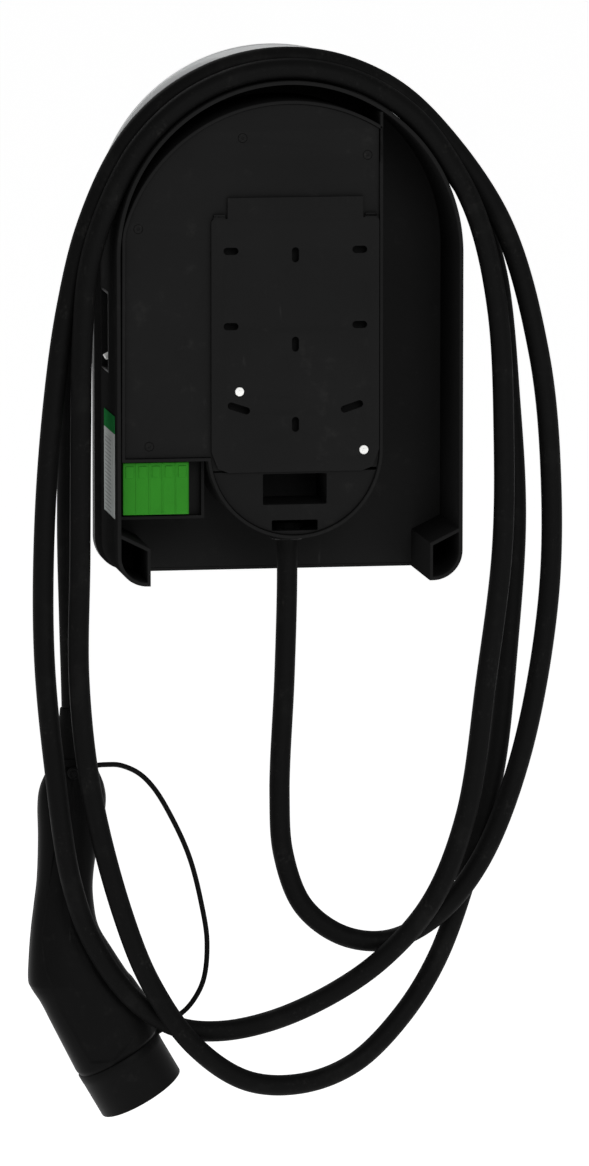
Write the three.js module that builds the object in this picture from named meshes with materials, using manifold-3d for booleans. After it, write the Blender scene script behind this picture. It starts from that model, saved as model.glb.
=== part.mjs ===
// Wall-mounted charging point for electric cars, with its cable wound three times over the arch
// of the housing and its plug hanging beside it. Millimetres, +Z up, the front faces -Y.
// The origin is the centre of the bracket's rear face, so the wall is the plane y = 0.
import * as THREE from 'three';
import { mergeVertices } from 'three/addons/utils/BufferGeometryUtils.js';
import Module from 'manifold-3d';

const wasm = await Module();
wasm.setup();

// ---------------------------------------------------------------- driving dimensions
const GAP = 0.3; // clearance between touching pieces
const WALL = 3; // moulded wall of the housing
const THIN = 2.5; // moulded wall of the inner tray

const SHELL_X = 3.5; // the housing's centre line lies a little to one side of the bracket's
const SHELL_R = 133.3; // outer radius of the housing's arch, half its width
const ARCH_Z = 59.7; // height of the arch's centre
const BASE_Z = -191; // lowest edge of the housing
const CORNER_R = 23; // rounding of the two feet
const REAR_Y = -0.8; // rear rim of the housing, just clear of the wall
const WEB_Y = -84; // inner face of the web that closes the housing towards the front
const WEB_T = 3;
const SKIRT_Y = -95; // front rim of the housing

const FOOT_W = 25.5; // width of each foot, with its inner wall
const FOOT_TOP = -151; // where a foot's sloping roof leaves the side wall
const FOOT_DROP = 11; // fall of that roof

const FRONT_R = 138.2; // the front cover overhangs the housing and keeps the cable on its seat
const FRONT_ARCH_Z = 76.2;
const COVER_DROP = 3.5; // the cover's arch lies this much below the light band's
const FRONT_Y = -112; // foremost face
const FRONT_CORNER_R = 26;

const TRAY_R = 133; // arch over the electronics tray, set lower than the housing's own
const TRAY_ARCH_Z = 45;
const TRAY_RIGHT = -67.6;
const TRAY_LEFT = 133.3;
const TRAY_STEP_Z = -95.7; // underside of the tray beside the terminal bay
const ROUND_R = 67.6; // half-round lower end of the tray
const ROUND_Z = -89;
const DECK_Y = -3.4; // rear face of the deck that closes the tray
const DECK_T = 3;
const DECK_END_Z = -104.6;

const PLATE_W = 129.2; // bracket that is screwed to the wall
const PLATE_H = 210;
const PLATE_T = 3;
const NOTCH_W = 12.5; // notches in its upper corners, where the hooks rest
const NOTCH_H = 16;
const SLOT_R = 2.7;
const SLOT_HALF = 3; // half the distance between the ends' centres
const SLANT_HALF = 6.2; // the same for the two slanted slots
const LIFT = 6.5; // travel that frees the hooks

const BAY = { x0: 122, x1: 140, y0: -92, y1: -50, z0: -33, z1: 30 }; // breaker recess in the side
const BLOCK = { x0: 81, x1: 131.5, z0: -136.8, z1: -96.9, y0: -21.6, y1: -8 }; // terminal block

const CABLE_R = 8;
const GLAND = new THREE.Vector3(0, -42, -157);
const SEAT_R = 143.2; // centre line of the strands that lie on the arch
const TOP_R = 149.8; // centre line of the strand on top of them
const NEAR_Y = -8.8;
const MID_Y = -23.9;
const FAR_Y = -39;

const PLUG_Y = -58; // the plug hangs in this plane
const NOSE_TILT = THREE.MathUtils.degToRad(30); // the nose points down and to -X
const NOSE = new THREE.Vector3(131, PLUG_Y, -562); // seam between handle and cap
const CAP_R = 35;
const CAP_L = 38;
const CAP_CHAMFER = 1.5;
const CAP_WALL = 2.2;
const COLLAR_R = 32;
const COLLAR_L = 31;
const CARRIER_R = 27.5;
const TETHER_R = 2;

// ---------------------------------------------------------------- finishes
function finish(color, roughness, metalness) {
  return new THREE.MeshStandardMaterial({ color, roughness, metalness });
}

const BLACK = finish(0x1e1e1e, 0.55, 0);
const GLOSS = finish(0x141416, 0.2, 0);
const RUBBER = finish(0x181818, 0.75, 0);
const FROST = finish(0xd6d8d8, 0.35, 0);
const GREEN = finish(0x2b7a23, 0.5, 0);
const WHITE = finish(0xf2f2ee, 0.45, 0);
const GREY = finish(0x6d7072, 0.5, 0);
const BOARD = finish(0x14532d, 0.5, 0);
const STEEL = finish(0xb4b4b0, 0.35, 1);
const SILVERED = finish(0xc8c8c6, 0.3, 1);
const LABEL = finish(0xc9cbc9, 0.5, 0);

// ---------------------------------------------------------------- solids
function solid(geometry) {
  const bare = geometry.clone();
  bare.deleteAttribute('normal');
  bare.deleteAttribute('uv');
  const merged = mergeVertices(bare, 1e-4);
  const vertProperties = new Float32Array(merged.attributes.position.array);
  const triVerts = new Uint32Array(merged.index.array);
  return new wasm.Manifold(new wasm.Mesh({ numProp: 3, vertProperties, triVerts }));
}

function geometryOf(body) {
  const mesh = body.getMesh();
  const geometry = new THREE.BufferGeometry();
  geometry.setAttribute('position', new THREE.BufferAttribute(new Float32Array(mesh.vertProperties), 3));
  geometry.setIndex(new THREE.BufferAttribute(new Uint32Array(mesh.triVerts), 1));
  geometry.computeVertexNormals();
  return geometry;
}

// A box between two corners.
function block(x0, x1, y0, y1, z0, z1) {
  const geometry = new THREE.BoxGeometry(x1 - x0, y1 - y0, z1 - z0);
  geometry.translate((x0 + x1) / 2, (y0 + y1) / 2, (z0 + z1) / 2);
  return solid(geometry);
}

// A flat shape drawn in x and z, made solid between two values of y.
function slab(shape, front, rear, curveSegments = 12, raise = 0) {
  const settings = { depth: rear - front, bevelEnabled: false, curveSegments };
  const geometry = new THREE.ExtrudeGeometry(shape, settings);
  geometry.rotateX(Math.PI / 2);
  geometry.translate(0, rear, raise);
  return solid(geometry);
}

// A round bar along one axis, centred on a point.
function bar(radius, length, axis, x, y, z, sides = 24) {
  const geometry = new THREE.CylinderGeometry(radius, radius, length, sides);
  if (axis === 'z') geometry.rotateX(Math.PI / 2);
  if (axis === 'x') geometry.rotateZ(Math.PI / 2);
  geometry.translate(x, y, z);
  return solid(geometry);
}

// ---------------------------------------------------------------- outlines, in x and z
// An arch with two straight sides and two rounded lower corners.
function archOutline(radius, archZ, baseZ, corner) {
  const shape = new THREE.Shape();
  shape.moveTo(SHELL_X - radius + corner, baseZ);
  shape.lineTo(SHELL_X + radius - corner, baseZ);
  shape.absarc(SHELL_X + radius - corner, baseZ + corner, corner, -Math.PI / 2, 0, false);
  shape.absarc(SHELL_X, archZ, radius, 0, Math.PI, false);
  shape.absarc(SHELL_X - radius + corner, baseZ + corner, corner, Math.PI, Math.PI * 1.5, false);
  return shape;
}

// The housing's open inside: it runs out at the bottom between the feet.
function housingHollow() {
  const inner = SHELL_R - WALL;
  const foot = SHELL_R - FOOT_W;
  const shape = new THREE.Shape();
  shape.moveTo(SHELL_X - foot, BASE_Z - 10);
  shape.lineTo(SHELL_X + foot, BASE_Z - 10);
  shape.lineTo(SHELL_X + foot, FOOT_TOP - FOOT_DROP);
  shape.lineTo(SHELL_X + inner, FOOT_TOP);
  shape.absarc(SHELL_X, ARCH_Z, inner, 0, Math.PI, false);
  shape.lineTo(SHELL_X - inner, FOOT_TOP);
  shape.lineTo(SHELL_X - foot, FOOT_TOP - FOOT_DROP);
  return shape;
}

// The pocket inside one foot.
function footPocket(side) {
  const outer = SHELL_R - WALL;
  const inner = SHELL_R - FOOT_W + THIN;
  const round = CORNER_R - WALL;
  const centre = SHELL_R - CORNER_R;
  const shape = new THREE.Shape();
  const at = (x) => SHELL_X + side * x;
  shape.moveTo(at(inner), BASE_Z + WALL);
  shape.lineTo(at(inner), FOOT_TOP - FOOT_DROP - WALL + 1);
  shape.lineTo(at(outer), FOOT_TOP - WALL);
  if (side > 0) shape.absarc(at(centre), BASE_Z + CORNER_R, round, 0, -Math.PI / 2, true);
  else shape.absarc(at(centre), BASE_Z + CORNER_R, round, Math.PI, Math.PI * 1.5, false);
  return shape;
}

// The electronics tray's outline, drawn in by a wall's thickness.
function trayOutline(inset) {
  const right = TRAY_RIGHT + inset;
  const left = TRAY_LEFT - inset;
  const radius = TRAY_R - inset;
  const round = ROUND_R - inset;
  const step = TRAY_STEP_Z + inset;
  const start = Math.asin((step - ROUND_Z) / round);
  const angleAt = (x) => Math.acos((x - SHELL_X) / radius);
  const shape = new THREE.Shape();
  shape.moveTo(round * Math.cos(start), step);
  shape.lineTo(left, step);
  shape.absarc(SHELL_X, TRAY_ARCH_Z, radius, angleAt(left), angleAt(right), false);
  shape.lineTo(right, ROUND_Z);
  shape.absarc(0, ROUND_Z, round, Math.PI, Math.PI * 2 + start, false);
  return shape;
}

// The tray's outline as a solid, kept clear of the housing's arch beside it.
function trayBlank(inset, front, rear) {
  const room = archOutline(SHELL_R - WALL - 2 * GAP - inset, ARCH_Z, BASE_Z, CORNER_R);
  return slab(trayOutline(inset), front, rear).intersect(slab(room, front - 1, rear + 1));
}

// A slot with round ends, turned by an angle.
function slotOutline(x, z, angle, half, grow = 0) {
  const shape = new THREE.Shape();
  const dx = half * Math.cos(angle);
  const dz = half * Math.sin(angle);
  const radius = SLOT_R + grow;
  shape.absarc(x + dx, z + dz, radius, angle - Math.PI / 2, angle + Math.PI / 2, false);
  shape.absarc(x - dx, z - dz, radius, angle + Math.PI / 2, angle + Math.PI * 1.5, false);
  return shape;
}

function breakerOpening(grow) {
  return block(BAY.x0 - grow, BAY.x1 + 5, BAY.y0 - grow, BAY.y1 + grow, BAY.z0 - grow, BAY.z1 + grow);
}

// ---------------------------------------------------------------- scene
const chargePoint = new THREE.Group();
chargePoint.name = 'charge_point';

function add(name, body, material, parent = chargePoint) {
  const mesh = new THREE.Mesh(body.isBufferGeometry ? body : geometryOf(body), material);
  mesh.name = name;
  parent.add(mesh);
  return mesh;
}

// ---------------------------------------------------------------- bracket
const PLUGS = [[42.9, -43], [-52.9, -89.1]];
const PLUG_HOLE_R = 3.8;
const HOOK_W = 9;
const LIP_T = 1.2;
const LIP_H = 5;

// Centre, angle and half length of each slot.
const SLOTS = [61, -7.2, -68.6].map((z) => [0, z, Math.PI / 2, SLOT_HALF]);
for (const side of [-1, 1]) {
  SLOTS.push([49.5 * side, 64.4, 0, SLOT_HALF], [49.5 * side, 7, 0, SLOT_HALF]);
  SLOTS.push([43.6 * side, -55.6, side * 0.32, SLANT_HALF]);
}

function wallPlate() {
  const half = PLATE_W / 2;
  const top = PLATE_H / 2;
  const shape = new THREE.Shape();
  shape.moveTo(-half, -top);
  shape.lineTo(half, -top);
  shape.lineTo(half, top - NOTCH_H - 3);
  shape.absarc(half - 3, top - NOTCH_H - 3, 3, 0, Math.PI / 2, false);
  shape.lineTo(half - NOTCH_W, top - NOTCH_H);
  shape.lineTo(half - NOTCH_W, top);
  shape.lineTo(-half + NOTCH_W, top);
  shape.lineTo(-half + NOTCH_W, top - NOTCH_H);
  shape.absarc(-half + 3, top - NOTCH_H - 3, 3, Math.PI / 2, Math.PI, false);
  // Its lower corners stay clear of the tray's round end, also while the unit is lifted.
  const room = slab(trayOutline(THIN + 2 * GAP), -PLATE_T - 1, 1, 12, LIFT);
  let plate = slab(shape, -PLATE_T, 0, 3).intersect(room);
  for (const [x, z, angle, half] of SLOTS) {
    plate = plate.subtract(slab(slotOutline(x, z, angle, half), -PLATE_T - 1, 1, 3));
  }
  for (const [x, z] of PLUGS) plate = plate.subtract(bar(PLUG_HOLE_R, 10, 'y', x, 0, z, 16));
  // Rebates that take the hooks' lips behind the plate.
  for (const side of [-1, 1]) {
    const x = side * (half - NOTCH_W / 2);
    const shoulder = top - NOTCH_H;
    plate = plate.subtract(block(x - 6.5, x + 6.5, -LIP_T - 0.6, 1, shoulder - LIP_H - 1.5, shoulder + 1));
  }
  return plate;
}

add('wall_plate', wallPlate(), BLACK);
PLUGS.forEach(([x, z], i) => {
  add(`white_plug_${i + 1}`, bar(PLUG_HOLE_R - GAP, PLATE_T - 0.5, 'y', x, -PLATE_T / 2, z, 16), WHITE);
});

// ---------------------------------------------------------------- housing
const housingUnit = new THREE.Group();
chargePoint.add(housingUnit);

function housing() {
  let body = slab(archOutline(SHELL_R, ARCH_Z, BASE_Z, CORNER_R), SKIRT_Y, REAR_Y);
  body = body.subtract(slab(housingHollow(), WEB_Y, 1));
  for (const side of [-1, 1]) body = body.subtract(slab(footPocket(side), WEB_Y + 1, 1, 4));
  const skirt = archOutline(SHELL_R - WALL, ARCH_Z, BASE_Z + WALL, CORNER_R - WALL);
  body = body.subtract(slab(skirt, SKIRT_Y - 1, WEB_Y - WEB_T));
  return body.subtract(breakerOpening(0));
}

add('housing', housing(), BLACK, housingUnit);

// The tray stands on the web and holds the electronics; a fin closes it to the arch.
const GROMMET = new THREE.Vector3(104, -45, TRAY_STEP_Z + THIN / 2);
const GROMMET_HOLE_R = 9;
const SCREW_HOLE_R = 2.4;

function electronicsTray() {
  const bottom = WEB_Y + GAP;
  let tray = trayBlank(0, bottom, REAR_Y);
  const finTop = ARCH_Z + Math.sqrt((SHELL_R - WALL) ** 2 - (TRAY_RIGHT - SHELL_X) ** 2) - 0.6;
  tray = tray.add(block(TRAY_RIGHT, TRAY_RIGHT + THIN, bottom, REAR_Y, 130, finTop));
  tray = tray.subtract(trayBlank(THIN, bottom + THIN, 1));
  tray = tray.subtract(bar(10.4, 30, 'z', GLAND.x, GLAND.y, GLAND.z, 20));
  tray = tray.subtract(bar(GROMMET_HOLE_R, 20, 'z', GROMMET.x, GROMMET.y, GROMMET.z, 20));
  return tray.subtract(breakerOpening(0));
}

add('electronics_tray', electronicsTray(), BLACK, housingUnit);

// The deck closes the tray and carries the two hooks that hang on the bracket.
const DECK_SCREWS = [[120, 82], [112, -84], [-56, 136], [40, 150]];
const DECK_SCREW_R = 3.6;
const WELL_GROW = 2.3; // the wells are this much wider than the slots all round
const WELL_WALL = 1.5;
const WELL_DEPTH = 7;

function deck() {
  let body = trayBlank(THIN + GAP, DECK_Y - DECK_T, DECK_Y);
  body = body.subtract(block(-90, 70.5, -20, 5, -200, DECK_END_Z));
  const half = PLATE_W / 2;
  const shoulder = PLATE_H / 2 - NOTCH_H;
  for (const side of [-1, 1]) {
    const x = side * (half - NOTCH_W / 2);
    const [x0, x1] = [x - HOOK_W / 2, x + HOOK_W / 2];
    const stem = block(x0, x1, DECK_Y - 1, -0.2, shoulder + GAP, shoulder + GAP + 3);
    const lip = block(x0, x1, -0.2 - LIP_T, -0.2, shoulder - LIP_H, shoulder + GAP + 3);
    body = body.add(stem).add(lip);
  }
  // Wells behind the bracket's slots leave room for the heads of the wall screws.
  for (const [x, z, angle, half] of SLOTS) {
    const tub = slotOutline(x, z, angle, half, WELL_GROW + WELL_WALL);
    body = body.add(slab(tub, DECK_Y - WELL_DEPTH - WELL_WALL, DECK_Y - 1, 3));
    body = body.subtract(slab(slotOutline(x, z, angle, half, WELL_GROW), DECK_Y - WELL_DEPTH, 1, 3));
  }
  for (const [x, z] of DECK_SCREWS) {
    body = body.subtract(bar(DECK_SCREW_R, 2, 'y', x, DECK_Y, z, 16));
    body = body.subtract(bar(SCREW_HOLE_R - 0.4, 20, 'y', x, DECK_Y, z, 12));
  }
  return body;
}

add('deck', deck(), BLACK, housingUnit);

function panHead(x, z, rear, headRadius, headHeight, shankRadius, length) {
  const head = bar(headRadius, headHeight, 'y', x, rear - headHeight / 2, z, 16);
  const shank = bar(shankRadius, length, 'y', x, rear - headHeight - length / 2 + 0.2, z, 12);
  const recess = bar(1.6, 1, 'y', x, rear, z, 6);
  return head.add(shank).subtract(recess);
}

DECK_SCREWS.forEach(([x, z], i) => {
  const screw = panHead(x, z, DECK_Y - 0.1, DECK_SCREW_R - GAP, 0.7, 1.5, 9);
  add(`deck_screw_${i + 1}`, screw, STEEL, housingUnit);
});

// The half-round lower cover has a deep service pocket and a notch over the cable gland.
const POCKET = { x0: -24.5, x1: 24.5, z0: -130.3, z1: -106.8, depth: 50 };

function lowerCover() {
  const shape = new THREE.Shape();
  const round = ROUND_R - THIN - GAP;
  const top = DECK_END_Z - GAP;
  const start = Math.asin((top - ROUND_Z) / round);
  shape.absarc(0, ROUND_Z, round, Math.PI - start, Math.PI * 2 + start, false);
  let body = slab(shape, DECK_Y - DECK_T, DECK_Y);
  const [x0, x1] = [POCKET.x0 - 2, POCKET.x1 + 2];
  const floor = DECK_Y - POCKET.depth - 2;
  const tub = block(x0, x1, floor, DECK_Y - 1, POCKET.z0 - 2, POCKET.z1 + 1.8);
  body = body.add(tub);
  body = body.subtract(block(POCKET.x0, POCKET.x1, DECK_Y - POCKET.depth, 5, POCKET.z0, POCKET.z1));
  return body.subtract(block(-17.6, 17.6, -20, 5, -150.5, -142.5));
}

add('lower_cover', lowerCover(), BLACK, housingUnit);

// ---------------------------------------------------------------- front
const BAND_Y = -95.6; // rear face of the frosted light band
const BAND_T = 6.4;
const BAND_W = 12;
const BAND_END = THREE.MathUtils.degToRad(12);

function bandOutline(outer, inner, end) {
  const shape = new THREE.Shape();
  shape.absarc(SHELL_X, FRONT_ARCH_Z, outer, end, Math.PI - end, false);
  shape.absarc(SHELL_X, FRONT_ARCH_Z, inner, Math.PI - end, end, true);
  return shape;
}

const LENS_Y = -109.4;

function frontCover() {
  let body = slab(archOutline(FRONT_R, FRONT_ARCH_Z - COVER_DROP, BASE_Z, FRONT_CORNER_R), LENS_Y, BAND_Y);
  const rebate = bandOutline(FRONT_R + 2, FRONT_R - BAND_W - GAP, BAND_END - 0.003);
  body = body.subtract(slab(rebate, BAND_Y - BAND_T - GAP, BAND_Y + 1));
  const hollow = archOutline(SHELL_R - WALL - 12, ARCH_Z, BASE_Z + 15, CORNER_R - WALL);
  return body.subtract(slab(hollow, LENS_Y + WALL, BAND_Y + 1));
}

add('front_cover', frontCover(), BLACK, housingUnit);
const band = slab(bandOutline(FRONT_R, FRONT_R - BAND_W, BAND_END), BAND_Y - BAND_T, BAND_Y);
add('light_band', band, FROST, housingUnit);

function frontLens() {
  const outline = archOutline(FRONT_R - 3, FRONT_ARCH_Z - COVER_DROP, BASE_Z + 3, FRONT_CORNER_R - 3);
  return slab(outline, FRONT_Y, LENS_Y - GAP);
}

add('front_lens', frontLens(), GLOSS, housingUnit);

function frontSeal() {
  const outer = archOutline(SHELL_R - WALL - GAP, ARCH_Z, BASE_Z + WALL + GAP, CORNER_R - WALL);
  const inner = archOutline(SHELL_R - WALL - 5, ARCH_Z, BASE_Z + WALL + 5, CORNER_R - WALL);
  const front = BAND_Y + GAP;
  return slab(outer, front, front + 2.6).subtract(slab(inner, front - 1, front + 6));
}

add('front_seal', frontSeal(), RUBBER, housingUnit);

const LED_Y = WEB_Y - WEB_T - GAP;
const LED_T = 1.6;

function ledBoard() {
  let board = slab(bandOutline(112, 98, BAND_END * 2), LED_Y - LED_T, LED_Y);
  for (let i = 0; i < 9; i += 1) {
    const angle = Math.PI * (0.2 + 0.075 * i);
    const x = SHELL_X + 105 * Math.cos(angle);
    const z = FRONT_ARCH_Z + 105 * Math.sin(angle);
    board = board.add(block(x - 2.5, x + 2.5, LED_Y - LED_T - 1.4, LED_Y - LED_T + 0.2, z - 2.5, z + 2.5));
  }
  return board;
}

add('led_board', ledBoard(), BOARD, housingUnit);
add('reader_board', block(-30, 37, LED_Y - LED_T, LED_Y, -60, 0), BOARD, housingUnit);

// ---------------------------------------------------------------- breaker behind the side recess
const BAY_WALL = 1.5;
const BAY_FLOOR = 1.8;

function breakerBezel() {
  const [y0, y1, z0, z1] = [BAY.y0 + GAP, BAY.y1 - GAP, BAY.z0 + GAP, BAY.z1 - GAP];
  const outer = block(BAY.x0 + GAP, SHELL_X + SHELL_R, y0, y1, z0, z1);
  const edge = GAP + BAY_WALL;
  const inner = block(
    BAY.x0 + BAY_FLOOR, BAY.x1 + 1, BAY.y0 + edge, BAY.y1 - edge, BAY.z0 + edge, BAY.z1 - edge,
  );
  return outer.subtract(inner);
}

add('breaker_bezel', breakerBezel(), BLACK, housingUnit);

const TOGGLE = new THREE.Vector3(127.6, -84, -20);
const TOGGLE_R = 3;
const TOGGLE_W = 9;
const BUTTON = new THREE.Vector3(128.4, -84, 14);
const BUTTON_HALF = 3.6;

function breakerBody() {
  const x0 = BAY.x0 + BAY_FLOOR + GAP;
  let body = block(x0, 130, -89.6, -52.4, -30.6, 27.6);
  const half = TOGGLE_W / 2 + GAP;
  const [y0, y1] = [TOGGLE.y - half, TOGGLE.y + half];
  body = body.subtract(block(x0 + 0.4, 140, y0, y1, TOGGLE.z - 9.6, TOGGLE.z + 5));
  return body.subtract(block(x0 + 1, 140, BUTTON.y - 4, BUTTON.y + 4, BUTTON.z - 4, BUTTON.z + 4));
}

add('breaker_body', breakerBody(), GREY, housingUnit);

function breakerToggle() {
  const hub = bar(TOGGLE_R - 0.1, TOGGLE_W, 'y', TOGGLE.x, TOGGLE.y, TOGGLE.z, 16);
  const lever = new THREE.BoxGeometry(8, TOGGLE_W, 4);
  lever.translate(4.6, 0, 0);
  lever.rotateY(THREE.MathUtils.degToRad(28));
  lever.translate(TOGGLE.x, TOGGLE.y, TOGGLE.z);
  return hub.add(solid(lever));
}

add('breaker_toggle', breakerToggle(), WHITE, housingUnit);
const testButton = block(
  BUTTON.x - 1.4, 131.5, BUTTON.y - BUTTON_HALF, BUTTON.y + BUTTON_HALF,
  BUTTON.z - BUTTON_HALF, BUTTON.z + BUTTON_HALF,
);
add('test_button', testButton, GREY, housingUnit);

// ---------------------------------------------------------------- electronics
const BOARD_REAR = -73.6;

function mainBoard() {
  return block(-58, 106, BOARD_REAR - 1.6, BOARD_REAR, -72, 106);
}

add('main_board', mainBoard(), BOARD, housingUnit);

const STANDOFFS = [[-50, -64], [98, -64], [-50, 98], [98, 98]];
STANDOFFS.forEach(([x, z], i) => {
  const foot = WEB_Y + GAP + THIN + GAP;
  const top = BOARD_REAR - 1.6 - GAP;
  add(`standoff_${i + 1}`, bar(3.5, top - foot, 'y', x, (foot + top) / 2, z, 12), STEEL, housingUnit);
});

const CONTACTOR = { x0: 32, x1: 90, y0: -73.3, y1: -24, z0: 22, z1: 92 };

function contactor() {
  const box = block(CONTACTOR.x0, CONTACTOR.x1, CONTACTOR.y0, CONTACTOR.y1, CONTACTOR.z0, CONTACTOR.z1);
  return box.subtract(block(50, 72, CONTACTOR.y1 - 14, 0, 48, 66));
}

add('contactor', contactor(), GREY, housingUnit);
const plunger = block(50.4, 71.6, CONTACTOR.y1 - 9, CONTACTOR.y1 + 2, 48.4, 65.6);
add('contactor_plunger', plunger, BLACK, housingUnit);
add('power_supply', block(-50, -8, -73.3, -44, 30, 92), GREY, housingUnit);
add('earth_fault_relay', block(-50, -16, -73.3, -50, -30, 18), GREY, housingUnit);

function ring(outer, inner, height) {
  const [low, high] = [-height / 2, height / 2];
  const profile = [[inner, low], [outer, low], [outer, high], [inner, high], [inner, low]];
  const geometry = new THREE.LatheGeometry(profile.map(([r, h]) => new THREE.Vector2(r, h)), 24);
  geometry.rotateX(Math.PI / 2);
  return geometry;
}

function placedRing(outer, inner, height, centre) {
  const geometry = ring(outer, inner, height);
  geometry.translate(centre.x, centre.y, centre.z);
  return solid(geometry);
}

// Conductors: sheath stripped, bound as one loom, past the leakage sensor to the contactor.
const LOOM_R = 4;
const SENSOR = new THREE.Vector3(0, -65.5, -82);
const OUT_LOOM = [
  [0, -46, -144], [0, -59, -140], [0, -65.5, -128], [0, -65.5, -82],
  [10, -61, -40], [44, -50, -10], [56, -50, 18],
];
const IN_LOOM = [[104, -45, -96.4], [104, -45, -70], [96, -45, -40], [78, -46, -8], [74, -46, 21.4]];

class RoutePath extends THREE.CatmullRomCurve3 {
  getPointAt(t, target) {
    return this.getPoint(t, target);
  }

  getTangentAt(t, target) {
    return this.getTangent(t, target);
  }
}

function tube(points, radius, sides, stepsPerPoint = 1) {
  const path = new RoutePath(points.map((p) => new THREE.Vector3(...p)));
  const section = new THREE.Shape();
  for (let i = 0; i < sides; i += 1) {
    const angle = (Math.PI * 2 * i) / sides;
    if (i === 0) section.moveTo(radius, 0);
    else section.lineTo(radius * Math.cos(angle), radius * Math.sin(angle));
  }
  const steps = (points.length - 1) * stepsPerPoint;
  return new THREE.ExtrudeGeometry(section, { steps, extrudePath: path });
}

add('output_loom', solid(tube(OUT_LOOM, LOOM_R, 8, 2)), RUBBER, housingUnit);
add('supply_loom', solid(tube(IN_LOOM, LOOM_R, 8, 2)), RUBBER, housingUnit);
add('leakage_sensor', placedRing(15, LOOM_R + 1, 12, SENSOR), BLACK, housingUnit);

function grommet() {
  const body = placedRing(GROMMET_HOLE_R - GAP, LOOM_R + 1, 9, GROMMET);
  const top = new THREE.Vector3(GROMMET.x, GROMMET.y, GROMMET.z + THIN / 2 + GAP + 1.5);
  return body.add(placedRing(GROMMET_HOLE_R + 2.5, LOOM_R + 1, 2.4, top));
}

add('supply_grommet', grommet(), RUBBER, housingUnit);

// ---------------------------------------------------------------- supply terminals
function terminalTray() {
  const x0 = 68.3;
  const x1 = SHELL_X + SHELL_R - WALL - GAP;
  const floorTop = -22;
  const rim = -14;
  let tray = block(x0, x1, floorTop - 2.5, rim, -141, TRAY_STEP_Z - GAP);
  tray = tray.subtract(block(x0 + 2.3, x1 + 5, floorTop, 0, -138.7, 0));
  for (const x of [x0, x1 - 6]) {
    tray = tray.add(block(x, x + 6, WEB_Y + GAP, floorTop - 1, -141, -135));
    tray = tray.add(block(x, x + 6, WEB_Y + GAP, floorTop - 1, TRAY_STEP_Z - GAP - 6, TRAY_STEP_Z - GAP));
  }
  return tray.subtract(block(84.6, 128, -60, 0, -133.4, -100.2));
}

add('terminal_tray', terminalTray(), BLACK, housingUnit);

function terminalBlock() {
  let body = block(BLOCK.x0, BLOCK.x1, BLOCK.y0, BLOCK.y1, BLOCK.z0, BLOCK.z1);
  body = body.add(block(85, 127.6, -58, BLOCK.y0 + 1, -133, -100.6));
  const pitch = (BLOCK.x1 - BLOCK.x0) / 5;
  for (let i = 0; i < 5; i += 1) {
    const x = BLOCK.x0 + pitch * (i + 0.5);
    body = body.subtract(block(x - 3.4, x + 3.4, -18.6, -11.6, BLOCK.z0 - 1, BLOCK.z0 + 12));
  }
  return body;
}

add('terminal_block', terminalBlock(), GREEN, housingUnit);

// ---------------------------------------------------------------- label on the side wall
const LABEL_X = SHELL_X + SHELL_R + GAP;
add('side_label', block(LABEL_X, LABEL_X + 0.5, -71, -12, -140, -61.5), LABEL, housingUnit);

// ---------------------------------------------------------------- cable gland
const GLAND_BORE = CABLE_R + 0.4;
const BORE_AT = (z) => new THREE.Vector3(GLAND.x, GLAND.y, z);
const glandHead = placedRing(12.6, GLAND_BORE, 4.6, BORE_AT(-159.3));
const glandNeck = placedRing(10, GLAND_BORE, 9.6, BORE_AT(-152.5));
add('gland_body', glandHead.add(glandNeck), BLACK, housingUnit);
add('gland_nut', placedRing(13, 10.3, 4, BORE_AT(-150.2)), BLACK, housingUnit);

// ---------------------------------------------------------------- charging cable
// Points on the arch, from one angle to another, counted from +X.
function overArch(radius, y, from, to) {
  const points = [];
  const count = 7;
  for (let i = 0; i < count; i += 1) {
    const angle = THREE.MathUtils.degToRad(from + ((to - from) * i) / (count - 1));
    points.push([SHELL_X + radius * Math.cos(angle), y, ARCH_Z + radius * Math.sin(angle)]);
  }
  return points;
}

const ROUTE = [
  // out of the gland, down, round and up on the right
  [0, -42, -152], [0, -42, -200], [2, -42, -270], [6, -41, -361], [3, -40, -408], [-12, -36, -448],
  [-42, -32, -471], [-77, -29, -475], [-113, -26, -457], [-147, -26, -417], [-179, -26, -337],
  [-201, -26, -216], [-203, -26, -116], [-193, -26, -19], [-163, -24, 82],
  ...overArch(TOP_R, MID_Y, 140, 32),
  // first turn: down on the left, in front of the plug, and up on the right
  [157, -23, 82], [172, -23, 22], [182, -22, -45], [190, -20, -140], [191, -20, -244], [183, -20, -336],
  [171, -20, -420], [154, -22, -469], [124, -22.5, -513], [90, -25.5, -537], [57, -25.5, -542],
  [15, -21, -534], [-33, -15, -512], [-72, -11.5, -484], [-108, -9.5, -442], [-134, -9.5, -377],
  [-150, -9.5, -270], [-162, -9.5, -170], [-163, -9.5, -80], [-158, -9.5, 14], [-143, -9.3, 83],
  ...overArch(SEAT_R, NEAR_Y, 152, 38),
  // second turn
  [138, -9, 109], [156, -9.5, 57], [162, -9.5, 0],
  [163.5, -9.5, -70], [164.5, -9.5, -170], [165.5, -9.3, -265],
  [156, -9.3, -352], [132, -9.3, -447], [110, -9.3, -502], [77, -9.3, -550], [36, -13, -579],
  [-8, -20, -584], [-50, -28, -571], [-88, -35, -537], [-118, -41, -492], [-146, -43, -413],
  [-163, -43, -345], [-173, -43, -250], [-179, -43, -150], [-174, -41.5, -60], [-163, -40, 40],
  [-146, -39, 91],
  ...overArch(SEAT_R, FAR_Y, 152, 38),
  // down to the plug
  [141, -39.2, 104], [158, -41, 45], [167, -43, -40], [169, -50, -145], [167, -56, -220],
  [165.5, -58, -268], [165, -58, -291],
];

add('charging_cable', solid(tube(ROUTE, CABLE_R, 8)), RUBBER, housingUnit);

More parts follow.
